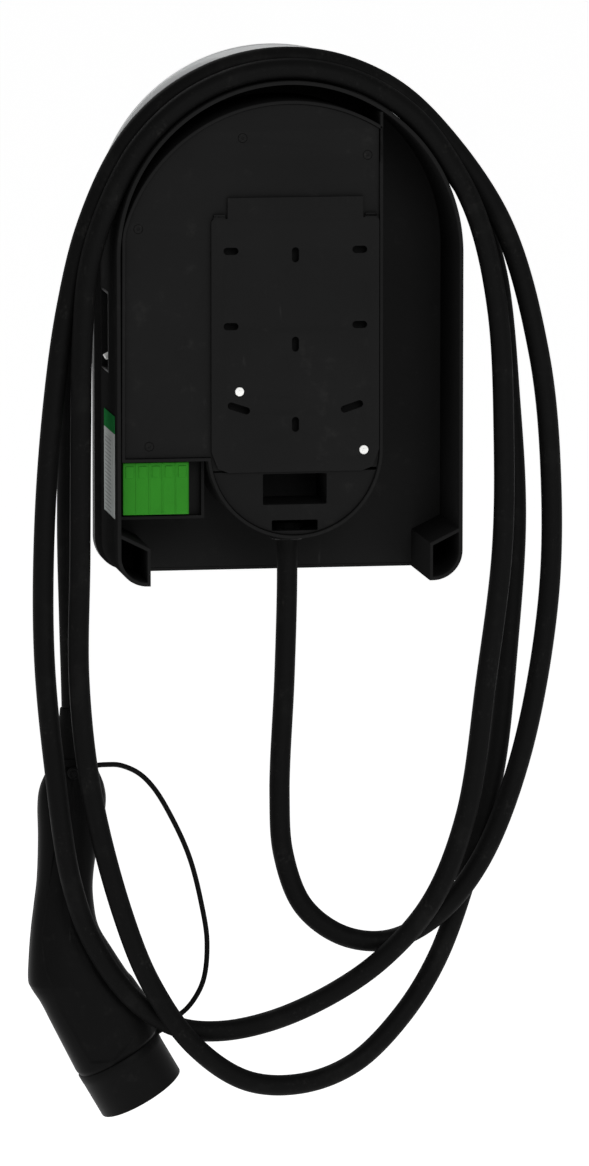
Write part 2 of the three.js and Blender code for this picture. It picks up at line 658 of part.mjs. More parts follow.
// ---------------------------------------------------------------- plug
// One section of the handle: centre, lean of the axis, half width and half depth.
const SECTIONS = [
  { x: 164.6, z: -336.3, lean: 0, a: 17.5, b: 15 },
  { x: 165, z: -352, lean: 0, a: 24.5, b: 18 },
  { x: 165.6, z: -368, lean: -2, a: 26.2, b: 19.5 },
  { x: 168.6, z: -396, lean: -5, a: 23, b: 19 },
  { x: 171, z: -425, lean: -3, a: 21.6, b: 19 },
  { x: 171.8, z: -446, lean: -1, a: 23.3, b: 20 },
  { x: 171, z: -462.2, lean: -1, a: 26.1, b: 21.5 },
  { x: 167.1, z: -480.8, lean: 3, a: 31.8, b: 25 },
  { x: 161.5, z: -500.5, lean: 4, a: 38.2, b: 28.5 },
  { x: 157.9, z: -507, lean: 5, a: 39.6, b: 29.5 },
  { x: 145.4, z: -526.7, lean: 12, a: 38.2, b: 31.5 },
  { x: 131, z: -562, lean: 30, a: 34.8, b: 33.5 },
];
const RING_SIDES = 20;
const SQUARENESS = 2.4; // exponent of the section's superellipse

function sectionRing({ x, z, lean, a, b }, inset) {
  const tilt = THREE.MathUtils.degToRad(lean);
  const ringPoints = [];
  for (let i = 0; i < RING_SIDES; i += 1) {
    const angle = (Math.PI * 2 * i) / RING_SIDES;
    const cos = Math.cos(angle);
    const sin = Math.sin(angle);
    const across = (a - inset) * Math.sign(cos) * Math.abs(cos) ** (2 / SQUARENESS);
    const depth = (b - inset) * Math.sign(sin) * Math.abs(sin) ** (2 / SQUARENESS);
    ringPoints.push([x + across * Math.cos(tilt), PLUG_Y + depth, z - across * Math.sin(tilt)]);
  }
  return ringPoints;
}

// A closed skin through a row of sections.
function loft(rings) {
  const sides = rings[0].length;
  const positions = rings.flat(2);
  const index = [];
  for (let r = 0; r < rings.length - 1; r += 1) {
    for (let i = 0; i < sides; i += 1) {
      const a = r * sides + i;
      const b = r * sides + ((i + 1) % sides);
      index.push(a, a + sides, b, b, a + sides, b + sides);
    }
  }
  for (const [ringIndex, turn] of [[0, 1], [rings.length - 1, -1]]) {
    const middle = positions.length / 3;
    const centre = [0, 1, 2].map((k) => rings[ringIndex].reduce((sum, p) => sum + p[k], 0) / sides);
    positions.push(...centre);
    for (let i = 0; i < sides; i += 1) {
      const a = ringIndex * sides + i;
      const b = ringIndex * sides + ((i + 1) % sides);
      if (turn > 0) index.push(middle, a, b);
      else index.push(middle, b, a);
    }
  }
  const geometry = new THREE.BufferGeometry();
  geometry.setAttribute('position', new THREE.Float32BufferAttribute(positions, 3));
  geometry.setIndex(index);
  return geometry;
}

const HANDLE_WALL = 3;

function handleShell(side) {
  const outer = solid(loft(SECTIONS.map((s) => sectionRing(s, 0))));
  const first = { ...SECTIONS[0], z: SECTIONS[0].z + 5 };
  const last = SECTIONS[SECTIONS.length - 1];
  const beyond = { ...last, x: last.x - 4 * Math.sin(NOSE_TILT), z: last.z - 4 * Math.cos(NOSE_TILT) };
  const rows = [first, ...SECTIONS.slice(1, -1), last, beyond];
  const hollow = solid(loft(rows.map((s) => sectionRing(s, HANDLE_WALL))));
  const [y0, y1] = side > 0 ? [PLUG_Y + GAP / 2, 0] : [-120, PLUG_Y - GAP / 2];
  const half = block(80, 240, y0, y1, -620, -300);
  return outer.subtract(hollow).intersect(half);
}

add('handle_rear_shell', handleShell(1), BLACK, housingUnit);
add('handle_front_shell', handleShell(-1), BLACK, housingUnit);

// Tapered bend relief on the cable, above the handle.
function cableBoot() {
  const profile = [[0, -22.1], [15.5, -22.1], [14.6, -14], [11.6, 6], [9.4, 22.2], [0, 22.2]];
  const geometry = new THREE.LatheGeometry(profile.map(([r, h]) => new THREE.Vector2(r, h)), 20);
  geometry.rotateX(Math.PI / 2);
  geometry.translate(164.8, PLUG_Y, -313.8);
  return solid(geometry);
}

add('cable_boot', cableBoot(), RUBBER, housingUnit);

// What stands on the nose's axis is placed in a group that is turned with it: local +Z runs back
// into the handle.
const nose = new THREE.Group();
nose.position.copy(NOSE);
nose.rotation.y = NOSE_TILT;
housingUnit.add(nose);

const CARRIER_BACK = 22;

function collar() {
  const middle = new THREE.Vector3(0, 0, -COLLAR_L / 2 - 0.6);
  const tubeRing = placedRing(COLLAR_R - GAP, CARRIER_R + GAP, COLLAR_L, middle);
  const key = block(-7, 7, CARRIER_R - 4, CARRIER_R + 1.5, -COLLAR_L, -COLLAR_L + 8);
  return tubeRing.subtract(key);
}

add('nose_collar', collar(), BLACK, nose);

const CONTACTS = [
  ['contact_pilot', -8, 11.5, 1.9], ['contact_proximity', 8, 11.5, 1.9], ['contact_line_1', -16, 0, 3.4],
  ['contact_earth', 0, 0, 3.4], ['contact_neutral', 16, 0, 3.4], ['contact_line_2', -8, -13, 3.4],
  ['contact_line_3', 8, -13, 3.4],
];
const CONTACT_RECESS = 4;

function carrier() {
  const length = COLLAR_L + CARRIER_BACK;
  let body = bar(CARRIER_R, length, 'z', 0, 0, CARRIER_BACK - length / 2, 32);
  for (const [, x, y, r] of CONTACTS) {
    body = body.subtract(bar(r + GAP, length + 10, 'z', x, y, CARRIER_BACK - length / 2, 12));
  }
  return body;
}

add('contact_carrier', carrier(), BLACK, nose);
for (const [name, x, y, r] of CONTACTS) {
  const length = COLLAR_L + CARRIER_BACK - CONTACT_RECESS;
  const sleeve = bar(r, length, 'z', x, y, CARRIER_BACK - length / 2, 12);
  const bore = bar(r * 0.55, 24, 'z', x, y, CARRIER_BACK - length, 8);
  add(name, sleeve.subtract(bore), SILVERED, nose);
}

const CAP_LUG = { inner: CAP_R - 1, outer: 44, half: 4 };

function protectiveCap() {
  const end = -CAP_L - 0.6;
  const profile = [
    [0, end], [CAP_R - CAP_CHAMFER, end], [CAP_R, end + CAP_CHAMFER], [CAP_R, -0.6],
    [CAP_R - CAP_WALL, -0.6], [CAP_R - CAP_WALL, -CAP_L + CAP_WALL], [0, -CAP_L + CAP_WALL],
  ];
  const geometry = new THREE.LatheGeometry(profile.map(([r, h]) => new THREE.Vector2(r, h)), 40);
  geometry.rotateX(Math.PI / 2);
  const lug = block(-CAP_LUG.outer, -CAP_LUG.inner, -CAP_LUG.half, CAP_LUG.half, -5, -0.8);
  return solid(geometry).add(lug);
}

add('protective_cap', protectiveCap(), BLACK, nose);

// The cap's tether runs from a button on the handle to the cap's lug.
const TETHER = [
  [161.5, -36.5, -337.5], [150, -40, -334.5], [139, -46, -334.8], [128.2, -52, -336.6], [113.3, -57, -344],
  [101.7, -58, -355.8], [87.8, -58, -379.2], [74, -58, -410.5], [64.8, -58, -446.5], [60.2, -58, -478],
  [63.5, -58, -509], [74, -58, -527.5], [84.5, -58, -536.5], [90.9, -58, -540.6],
];

add('cap_tether', solid(tube(TETHER, TETHER_R, 8)), RUBBER, housingUnit);

function tetherAnchor() {
  return bar(4.5, 5, 'y', 166.6, -37.5, -339.5, 16);
}

add('tether_anchor', tetherAnchor(), BLACK, housingUnit);

export default chargePoint;
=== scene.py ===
import math

import bpy
import bmesh
from mathutils import Matrix, Vector


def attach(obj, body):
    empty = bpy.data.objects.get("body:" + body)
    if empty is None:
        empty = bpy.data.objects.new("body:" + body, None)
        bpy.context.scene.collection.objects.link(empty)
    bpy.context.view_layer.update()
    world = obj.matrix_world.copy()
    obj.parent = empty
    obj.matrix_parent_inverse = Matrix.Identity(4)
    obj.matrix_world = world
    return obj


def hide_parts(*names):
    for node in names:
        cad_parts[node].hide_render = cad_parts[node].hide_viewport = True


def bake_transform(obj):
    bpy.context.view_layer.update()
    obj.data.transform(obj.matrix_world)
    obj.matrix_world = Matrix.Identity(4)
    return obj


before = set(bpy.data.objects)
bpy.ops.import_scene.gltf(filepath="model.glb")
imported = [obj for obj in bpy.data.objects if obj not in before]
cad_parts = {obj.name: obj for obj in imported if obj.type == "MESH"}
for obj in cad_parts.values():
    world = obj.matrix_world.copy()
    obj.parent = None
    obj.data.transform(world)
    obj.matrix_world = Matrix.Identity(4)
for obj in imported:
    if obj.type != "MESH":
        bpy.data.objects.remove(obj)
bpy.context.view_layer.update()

# ---------------------------------------------------------------- view
# A long lens, six metres behind the unit and a little above it, so that the sides stay parallel.
scene = bpy.context.scene
lens = bpy.data.cameras.new("view")
lens.sensor_fit = "VERTICAL"
lens.sensor_height = 36.0
lens.lens = 242.7
lens.clip_end = 60.0
camera = bpy.data.objects.new("view", lens)
scene.collection.objects.link(camera)
scene.camera = camera
TARGET = Vector((0.0008, 0.0, -0.1905))
AZIMUTH, ELEVATION, RANGE = math.radians(171.0), math.radians(8.0), 6.0
toward = Vector((
    math.cos(ELEVATION) * math.sin(AZIMUTH),
    -math.cos(ELEVATION) * math.cos(AZIMUTH),
    math.sin(ELEVATION),
))
camera.location = TARGET + RANGE * toward
camera.rotation_euler = (-toward).to_track_quat("-Z", "Y").to_euler()

# ---------------------------------------------------------------- charging cable
# Round five-core cable in a black rubber-like sheath, 16 mm thick. It leaves the gland at the
# bottom, is wound three times over the arch and runs down into the bend relief above the plug.


class S:
    """A value in a node tree: arithmetic on it adds Math nodes."""

    def __init__(self, tree, socket):
        self.tree = tree
        self.socket = socket

    def node(self, kind, settings=None, out=0, **inputs):
        made = self.tree.nodes.new(kind)
        for key, value in (settings or {}).items():
            setattr(made, key, value)
        for key, value in inputs.items():
            target = made.inputs[int(key[1:]) if key[1:].isdigit() else key.replace("_", " ")]
            if isinstance(value, S):
                self.tree.links.new(value.socket, target)
            else:
                target.default_value = value
        return S(self.tree, made.outputs[out])

    def math(self, operation, *others):
        inputs = {"i0": self}
        inputs.update({f"i{k + 1}": other for k, other in enumerate(others)})
        return self.node("ShaderNodeMath", {"operation": operation}, **inputs)

    def __add__(self, other):
        return self.math("ADD", other)

    __radd__ = __add__

    def __mul__(self, other):
        return self.math("MULTIPLY", other)

    __rmul__ = __mul__

    def __sub__(self, other):
        return self.math("SUBTRACT", other)

    def __rsub__(self, other):
        return (self * -1.0) + other

    def above(self, low, high):
        """0 below low, 1 above high, and smooth between."""
        settings = {"interpolation_type": "SMOOTHSTEP"}
        return self.node("ShaderNodeMapRange", settings, i0=self, i1=low, i2=high, i3=0.0, i4=1.0)

    def mix(self, first, second):
        """A colour that turns from first to second as this value goes from 0 to 1."""
        return self.node("ShaderNodeMix", {"data_type": "RGBA"}, 2, i0=self, i6=first, i7=second)

    def noise(self, scale, detail=3.0, roughness=0.55):
        """Noise over this vector."""
        settings = {"noise_dimensions": "3D"}
        return self.node("ShaderNodeTexNoise", settings, 0, Vector=self, Scale=scale, Detail=detail,
                         Roughness=roughness)

    def stretched(self, x, y, z):
        return self.node("ShaderNodeVectorMath", {"operation": "MULTIPLY"}, i0=self, i1=(x, y, z))

    def axis(self, index):
        return self.node("ShaderNodeSeparateXYZ", None, index, Vector=self)


def new_material(name):
    """A material with a Principled shader; returns it, its shader node and the object's own
    coordinates."""
    material = bpy.data.materials.new(name)
    material.use_nodes = True
    tree = material.node_tree
    shader = tree.nodes["Principled BSDF"]
    place = S(tree, tree.nodes.new("ShaderNodeTexCoord").outputs["Object"])
    return material, shader, place


def set_inputs(shader, place, bump=None, strength=0.2, distance=0.0002, **values):
    """Constants go on the shader's sockets, values from nodes are linked to them."""
    tree = place.tree
    for key, value in values.items():
        target = shader.inputs[key.replace("_", " ")]
        if isinstance(value, S):
            tree.links.new(value.socket, target)
        else:
            target.default_value = value
    if bump is not None:
        relief = place.node("ShaderNodeBump", None, 0, Strength=strength, Distance=distance, Height=bump)
        tree.links.new(relief.socket, shader.inputs["Normal"])


def rubber(name, shade, polish):
    """Sheath or seal: dull, with a slow variation of sheen, rubbed patches and fine dust."""
    material, shader, place = new_material(name)
    slow = place.noise(9.0, 2.0)
    fine = place.noise(420.0, 3.0)
    grain = place.noise(1900.0, 2.0)
    rubbed = (place.noise(26.0, 4.0, 0.65) + fine * 0.12).above(0.58, 0.74)
    dust = (fine * 0.5 + place.noise(55.0, 4.0) * 0.5).above(0.56, 0.7)
    clean = rubbed.mix((shade, shade, shade, 1), (shade * 1.45, shade * 1.45, shade * 1.42, 1))
    colour = (dust * 0.07).mix(clean, (0.09, 0.088, 0.084, 1))
    rough = slow * 0.16 + (polish - 0.1) + rubbed * -0.07 + dust * 0.1
    set_inputs(shader, place, grain * 0.4 + fine * 0.6 + slow * 2.0, 0.24, 0.0003,
               Base_Color=colour, Roughness=rough, Specular_IOR_Level=0.03)
    return material


def through(points, step=0.004):
    """A smooth line through the points: the centripetal curve, as points a step apart."""
    points = [Vector(p) for p in points]
    ends = [points[0] * 2 - points[1], *points, points[-1] * 2 - points[-2]]
    line = []
    for a, b, c, d in zip(ends, ends[1:], ends[2:], ends[3:]):
        ta = (b - a).length ** 0.5
        tb = (c - b).length ** 0.5
        tc = (d - c).length ** 0.5
        out = ((b - a) / ta - (c - a) / (ta + tb) + (c - b) / tb) * tb
        into = ((c - b) / tb - (d - b) / (tb + tc) + (d - c) / tc) * tb
        count = max(2, round((c - b).length / step))
        for k in range(count):
            t = k / count
            line.append(
                b * (2 * t**3 - 3 * t**2 + 1) + out * (t**3 - 2 * t**2 + t)
                + c * (3 * t**2 - 2 * t**3) + into * (t**3 - t**2)
            )
    line.append(points[-1])
    return line


def tube(name, line, radius):
    """A round cord along a line, as a curve."""
    curve = bpy.data.curves.new(name, "CURVE")
    curve.dimensions = "3D"
    curve.bevel_depth = radius
    curve.bevel_resolution = 6
    curve.use_fill_caps = True
    spline = curve.splines.new("POLY")
    spline.points.add(len(line) - 1)
    for point, place in zip(spline.points, line):
        point.co = (*place, 1.0)
    piece = bpy.data.objects.new(name, curve)
    scene.collection.objects.link(piece)
    return piece


ARCH_X, ARCH_Z = 0.0035, 0.0597  # centre of the housing's arch
CABLE_RADIUS = 0.008


def arch_strand(radius, y, first, last):
    """Seven points over the arch, between two angles in degrees counted from +X."""
    angles = [math.radians(first + (last - first) * k / 6) for k in range(7)]
    return [(ARCH_X + radius * math.cos(a), y, ARCH_Z + radius * math.sin(a)) for a in angles]


ROUTE = [
    # out of the gland, down, round and up on the right, and over the top
    (0, -0.042, -0.152), (0, -0.042, -0.2), (0.002, -0.042, -0.27), (0.006, -0.041, -0.361),
    (0.003, -0.04, -0.408), (-0.012, -0.036, -0.448), (-0.042, -0.032, -0.471), (-0.077, -0.029, -0.475),
    (-0.113, -0.026, -0.457), (-0.147, -0.026, -0.417), (-0.179, -0.026, -0.337), (-0.201, -0.026, -0.216),
    (-0.203, -0.026, -0.116), (-0.193, -0.026, -0.019), (-0.163, -0.024, 0.082),
    *arch_strand(0.1498, -0.0239, 140, 32),
    # first turn: down on the left, in front of the plug, and up on the right
    (0.157, -0.023, 0.082), (0.172, -0.023, 0.022), (0.182, -0.022, -0.045), (0.19, -0.02, -0.14),
    (0.191, -0.02, -0.244), (0.183, -0.02, -0.336), (0.171, -0.02, -0.42), (0.154, -0.022, -0.469),
    (0.124, -0.0225, -0.513), (0.09, -0.0255, -0.537), (0.057, -0.0255, -0.542), (0.015, -0.021, -0.534),
    (-0.033, -0.015, -0.512), (-0.072, -0.0115, -0.484), (-0.108, -0.0095, -0.442), (-0.134, -0.0095, -0.377),
    (-0.15, -0.0095, -0.27), (-0.162, -0.0095, -0.17), (-0.163, -0.0095, -0.08), (-0.158, -0.0095, 0.014),
    (-0.143, -0.0093, 0.083),
    *arch_strand(0.142, -0.0088, 152, 38),
    # second turn
    (0.138, -0.009, 0.109), (0.156, -0.0095, 0.057), (0.162, -0.0095, 0), (0.1635, -0.0095, -0.07),
    (0.1645, -0.0095, -0.17), (0.1655, -0.0093, -0.265), (0.156, -0.0093, -0.352), (0.132, -0.0093, -0.447),
    (0.11, -0.0093, -0.502), (0.077, -0.0093, -0.55), (0.036, -0.013, -0.579), (-0.008, -0.02, -0.584),
    (-0.05, -0.028, -0.571), (-0.088, -0.035, -0.537), (-0.118, -0.041, -0.492), (-0.146, -0.043, -0.413),
    (-0.163, -0.043, -0.345), (-0.173, -0.043, -0.25), (-0.179, -0.043, -0.15), (-0.174, -0.0415, -0.06),
    (-0.163, -0.04, 0.04), (-0.146, -0.039, 0.091),
    *arch_strand(0.1432, -0.039, 152, 38),
    # down to the plug
    (0.141, -0.0392, 0.104), (0.158, -0.041, 0.045), (0.167, -0.043, -0.04), (0.169, -0.05, -0.145),
    (0.167, -0.056, -0.22), (0.1655, -0.058, -0.268), (0.165, -0.058, -0.291),
]
line = through(ROUTE)
CABLE_LENGTH = sum((b - a).length for a, b in zip(line, line[1:]))
cable = tube("cable", line, CABLE_RADIUS)
sheath = rubber("cable sheath", 0.0042, 0.56)
cable.data.materials.append(sheath)
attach(cable, "unit")
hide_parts("charging_cable")

# ---------------------------------------------------------------- wall bracket
# Moulded plate, 3 mm thick, that is screwed to the wall through slots with round ends. Two white
# snap-in plugs close its levelling holes.


def moulding(name, shade, polish, grain_size=1500.0, relief=0.3, gloss=0.03):
    """Black moulded plastic with a fine eroded texture, faint scuffs and a little dust."""
    material, shader, place = new_material(name)
    grain = place.noise(grain_size, 2.0, 0.6)
    cloud = place.noise(11.0, 3.0)
    scuffs = place.stretched(140.0, 140.0, 16.0).noise(1.0, 4.0, 0.7)
    marks = scuffs.above(0.66, 0.76)
    dust = (place.noise(70.0, 5.0, 0.7) * 0.7 + cloud * 0.3).above(0.55, 0.72)
    plain = cloud.mix((shade * 0.86,) * 3 + (1,), (shade * 1.14,) * 3 + (1,))
    marked = (marks * 0.14).mix(plain, (0.06, 0.06, 0.059, 1))
    colour = (dust * 0.05).mix(marked, (0.12, 0.118, 0.112, 1))
    rough = cloud * 0.1 + (polish - 0.05) + marks * 0.07 + dust * 0.06
    set_inputs(shader, place, grain + marks * 0.5, relief, 0.00012,
               Base_Color=colour, Roughness=rough, Specular_IOR_Level=gloss)
    return material


def nylon(name, colour, polish):
    """Bright moulding, with faint marbling and dirt."""
    material, shader, place = new_material(name)
    cloud = place.noise(45.0, 4.0)
    grain = place.noise(1300.0, 2.0)
    dirt = place.noise(160.0, 4.0, 0.7).above(0.56, 0.74)
    pale = tuple(min(1.0, c * 1.08) for c in colour)
    dark = tuple(c * 0.88 for c in colour)
    base = cloud.mix((*dark, 1), (*pale, 1))
    tint = (dirt * 0.22).mix(base, (colour[0] * 0.4, colour[1] * 0.4, colour[2] * 0.37, 1))
    set_inputs(shader, place, grain, 0.15, 0.00012, Base_Color=tint, Roughness=cloud * 0.12 + polish,
               Specular_IOR_Level=0.06)
    return material


def arc(x, z, radius, first, last, count=40):
    """Points on an arc in x and z; the angles are in degrees counted from +X."""
    angles = [math.radians(first + (last - first) * k / count) for k in range(count + 1)]
    return [(x + radius * math.cos(a), z + radius * math.sin(a)) for a in angles]


def rectangle(x0, x1, z0, z1, corner):
    """A rectangle with rounded corners."""
    return [
        *arc(x1 - corner, z1 - corner, corner, 0, 90, 6),
        *arc(x0 + corner, z1 - corner, corner, 90, 180, 6),
        *arc(x0 + corner, z0 + corner, corner, 180, 270, 6),
        *arc(x1 - corner, z0 + corner, corner, 270, 360, 6),
    ]


SLOT_RADIUS = 0.0027


def slot_outline(x, z, degrees, half, radius=SLOT_RADIUS):
    """A slot with round ends, whose centres lie this half distance from its middle."""
    dx = half * math.cos(math.radians(degrees))
    dz = half * math.sin(math.radians(degrees))
    return [
        *arc(x + dx, z + dz, radius, degrees - 90, degrees + 90, 10),
        *arc(x - dx, z - dz, radius, degrees + 90, degrees + 270, 10),
    ]


def slab(outlines, front, rear, edge):
    """A mesh between two values of y from outlines in x and z, the first the outside and the rest
    holes, with its edges rounded."""
    curve = bpy.data.curves.new("outline", "CURVE")
    curve.dimensions = "2D"
    curve.fill_mode = "BOTH"
    curve.extrude = (rear - front) / 2 - edge
    curve.bevel_depth = edge
    curve.bevel_resolution = 2
    curve.offset = -edge
    for outline in outlines:
        spline = curve.splines.new("POLY")
        spline.points.add(len(outline) - 1)
        spline.use_cyclic_u = True
        for point, (x, z) in zip(spline.points, outline):
            point.co = (x, z, 0.0, 1.0)
    holder = bpy.data.objects.new("outline", curve)
    scene.collection.objects.link(holder)
    graph = bpy.context.evaluated_depsgraph_get()
    mesh = bpy.data.meshes.new_from_object(holder.evaluated_get(graph))
    mesh.transform(Matrix.Translation((0, (front + rear) / 2, 0)) @ Matrix.Rotation(math.pi / 2, 4, "X"))
    bpy.data.objects.remove(holder)
    return mesh


def joined(name, meshes, smooth=40.0):
    """One piece from several meshes, smooth except where faces meet at more than the angle."""
    whole = bmesh.new()
    for mesh in meshes:
        whole.from_mesh(mesh)
        bpy.data.meshes.remove(mesh)
    bmesh.ops.remove_doubles(whole, verts=whole.verts, dist=0.000002)
    mesh = bpy.data.meshes.new(name)
    whole.to_mesh(mesh)
    whole.free()
    for face in mesh.polygons:
        face.use_smooth = True
    mesh.set_sharp_from_angle(angle=math.radians(smooth))
    piece = bpy.data.objects.new(name, mesh)
    scene.collection.objects.link(piece)
    return piece


def fit(piece, material, body, node):
    """Gives a piece its finish and its body, and hides the node it stands for."""
    piece.data.materials.clear()
    piece.data.materials.append(material)
    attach(piece, body)
    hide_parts(node)


def shown(node, material):
    """A node that is shown as it is, with its finish."""
    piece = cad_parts[node]
    piece.data.materials.clear()
    piece.data.materials.append(material)


black = moulding("black moulding", 0.0112, 0.5, gloss=0.0)
black_fine = moulding("black moulding, finer", 0.0076, 0.42, 2300.0, 0.18)
white = nylon("white nylon", (0.86, 0.86, 0.84), 0.4)

PLATE = [
    (-0.0646, -0.0888), (-0.0596, -0.1018), (-0.0515, -0.105), (0.0515, -0.105), (0.0596, -0.1018),
    (0.0646, -0.0888), *arc(0.0616, 0.086, 0.003, 0, 90, 6), (0.0521, 0.089), (0.0521, 0.105),
    (-0.0521, 0.105), (-0.0521, 0.089), *arc(-0.0616, 0.086, 0.003, 90, 180, 6),
]
SLOT_HALF = 0.003
SLANTED_HALF = 0.0062
# centre, angle in degrees and half length of each slot
SLOTS = [(0, z, 90, SLOT_HALF) for z in (0.061, -0.0072, -0.0686)]
for side in (-1, 1):
    SLOTS += [(0.0495 * side, 0.0644, 0, SLOT_HALF), (0.0495 * side, 0.007, 0, SLOT_HALF)]
    SLOTS.append((0.0436 * side, -0.0556, 18.3 * side, SLANTED_HALF))
holes = [slot_outline(*slot) for slot in SLOTS]
PLUG_HOLES = [(0.0429, -0.043), (-0.0529, -0.0891)]
holes += [arc(x, z, 0.0038, 0, 352, 44) for x, z in PLUG_HOLES]
PLATE_THICK = 0.003
plate = joined("bracket", [slab([PLATE, *holes], -PLATE_THICK, 0.0, 0.0004)])
fit(plate, black, "bracket", "wall_plate")
for k, (x, z) in enumerate(PLUG_HOLES):
    head = slab([arc(x, z, 0.0035, 0, 355, 71)], -0.0027, -0.0004, 0.0006)
    dimple = slab([arc(x, z, 0.0012, 0, 350, 35)], -0.0012, 0.0, 0.0003)
    plug = joined(f"bracket_plug_{k + 1}", [head, dimple])
    fit(plug, white, "bracket", f"white_plug_{k + 1}")

# ---------------------------------------------------------------- housing
# Arch-shaped moulding, open at the rear. Its rim lies close to the wall, a web closes it towards
# the front, and each lower corner is a foot with a pocket.
SHELL_RADIUS, SHELL_WALL = 0.1333, 0.003
INNER_RADIUS = SHELL_RADIUS - SHELL_WALL
CORNER_RADIUS = 0.023
INNER_CORNER = CORNER_RADIUS - SHELL_WALL
BASE = -0.191
# centres of the two lower corners, and the inner faces of the walls and the feet
MINUS_X, PLUS_X = ARCH_X - SHELL_RADIUS + CORNER_RADIUS, ARCH_X + SHELL_RADIUS - CORNER_RADIUS
CORNER_Z = BASE + CORNER_RADIUS
MINUS_WALL, PLUS_WALL = ARCH_X - INNER_RADIUS, ARCH_X + INNER_RADIUS
MINUS_FOOT, PLUS_FOOT = MINUS_X + 0.0025, PLUS_X - 0.0025
FOOT_TOP, FOOT_EAVE = -0.151, -0.162
ARCH = [
    *arc(ARCH_X, ARCH_Z, SHELL_RADIUS, 0, 180, 120),
    *arc(MINUS_X, CORNER_Z, CORNER_RADIUS, 180, 270, 16),
    *arc(PLUS_X, CORNER_Z, CORNER_RADIUS, 270, 360, 16),
]
RIM = [
    *arc(ARCH_X, ARCH_Z, SHELL_RADIUS, 0, 180, 120),
    *arc(MINUS_X, CORNER_Z, CORNER_RADIUS, 180, 270, 16), (MINUS_FOOT, BASE),
    (MINUS_FOOT, FOOT_EAVE), (MINUS_WALL, FOOT_TOP), *arc(ARCH_X, ARCH_Z, INNER_RADIUS, 180, 0, 120),
    (PLUS_WALL, FOOT_TOP), (PLUS_FOOT, FOOT_EAVE), (PLUS_FOOT, BASE),
    *arc(PLUS_X, CORNER_Z, CORNER_RADIUS, 270, 360, 16),
]
POCKETS = [
    [
        (PLUS_X, -0.188), (PLUS_X, -0.164), (PLUS_WALL, -0.154),
        *arc(PLUS_X, CORNER_Z, INNER_CORNER, 0, -86, 12),
    ],
    [
        (MINUS_X, -0.188), (MINUS_X, -0.164), (MINUS_WALL, -0.154),
        *arc(MINUS_X, CORNER_Z, INNER_CORNER, 180, 266, 12),
    ],
]
INSIDE = [
    *arc(ARCH_X, ARCH_Z, INNER_RADIUS, 0, 180, 120),
    *arc(MINUS_X, CORNER_Z, INNER_CORNER, 180, 270, 12),
    *arc(PLUS_X, CORNER_Z, INNER_CORNER, 270, 360, 12),
]


def cut(mesh, low, high):
    """The mesh less a box between two corners."""
    tool = bpy.data.meshes.new("cutter")
    shape = bmesh.new()
    bmesh.ops.create_cube(shape, size=1.0)
    middle = (Vector(low) + Vector(high)) / 2
    spread = Vector(high) - Vector(low)
    shape.transform(Matrix.Translation(middle) @ Matrix.Diagonal((*spread, 1.0)))
    shape.to_mesh(tool)
    shape.free()
    first = bpy.data.objects.new("whole", mesh)
    second = bpy.data.objects.new("cutter", tool)
    for piece in (first, second):
        scene.collection.objects.link(piece)
    step = first.modifiers.new("cut", "BOOLEAN")
    step.operation = "DIFFERENCE"
    step.solver = "EXACT"
    step.object = second
    graph = bpy.context.evaluated_depsgraph_get()
    result = bpy.data.meshes.new_from_object(first.evaluated_get(graph))
    bpy.data.objects.remove(first)
    bpy.data.objects.remove(second)
    return result


RECESS = ((0.122, -0.092, -0.033), (0.145, -0.05, 0.03))
walls = cut(slab([RIM, *POCKETS], -0.087, -0.0008, 0.0007), *RECESS)
skirt = cut(slab([ARCH, INSIDE], -0.095, -0.0855, 0.0007), *RECESS)
web = cut(slab([INSIDE], -0.087, -0.084, 0.0004), *RECESS)
housing = joined("housing_shell", [walls, skirt, web])
fit(housing, black, "unit", "housing")

# ---------------------------------------------------------------- electronics tray
# Thin-walled moulding that stands in the housing. Its lower end is half-round, with the gland's
# hole, and a fin ties its side to the arch.


ROUND_Z = -0.089  # centre of the tray's round lower end
TRAY_FRONT, TRAY_REAR = -0.0837, -0.0008


def tray_outline(inset):
    """The tray's outside, or an outline this far inside it."""
    right, left = -0.0676 + inset, SHELL_RADIUS - inset
    radius, round_end, step = 0.133 - inset, 0.0676 - inset, -0.0957 + inset
    start = math.degrees(math.asin((step - ROUND_Z) / round_end))
    first = math.degrees(math.acos((left - ARCH_X) / radius))
    last = math.degrees(math.acos((right - ARCH_X) / radius))
    side = INNER_RADIUS - 0.0006 - inset
    outline = [
        (round_end * math.cos(math.radians(start)), step), (left, step),
        *arc(ARCH_X, 0.045, radius, first, last, 90),
        *arc(0.0, ROUND_Z, round_end, 180, 360 + start, 72),
    ]
    near = []
    for x, z in outline:
        # it stays inside the housing's arch and side wall
        if z < ARCH_Z:
            near.append((min(x, ARCH_X + side), z))
        else:
            scale = min(1.0, side / max(math.hypot(x - ARCH_X, z - ARCH_Z), 1e-6))
            near.append((ARCH_X + (x - ARCH_X) * scale, ARCH_Z + (z - ARCH_Z) * scale))
    return near


GLAND_HOLE = ((-0.0104, -0.0524, -0.17), (0.0104, -0.0316, -0.14))
tray_walls = slab([tray_outline(0), tray_outline(0.0025)], TRAY_FRONT, TRAY_REAR, 0.0005)
tray_walls = cut(cut(tray_walls, *RECESS), *GLAND_HOLE)
tray_floor = cut(slab([tray_outline(0.0003)], TRAY_FRONT, TRAY_FRONT + 0.0025, 0.0003), *RECESS)
fin = slab([rectangle(-0.0676, -0.0651, 0.13, 0.1687, 0.0003)], TRAY_FRONT, TRAY_REAR, 0.0005)
tray = joined("tray_shell", [tray_walls, tray_floor, fin])
fit(tray, black, "unit", "electronics_tray")

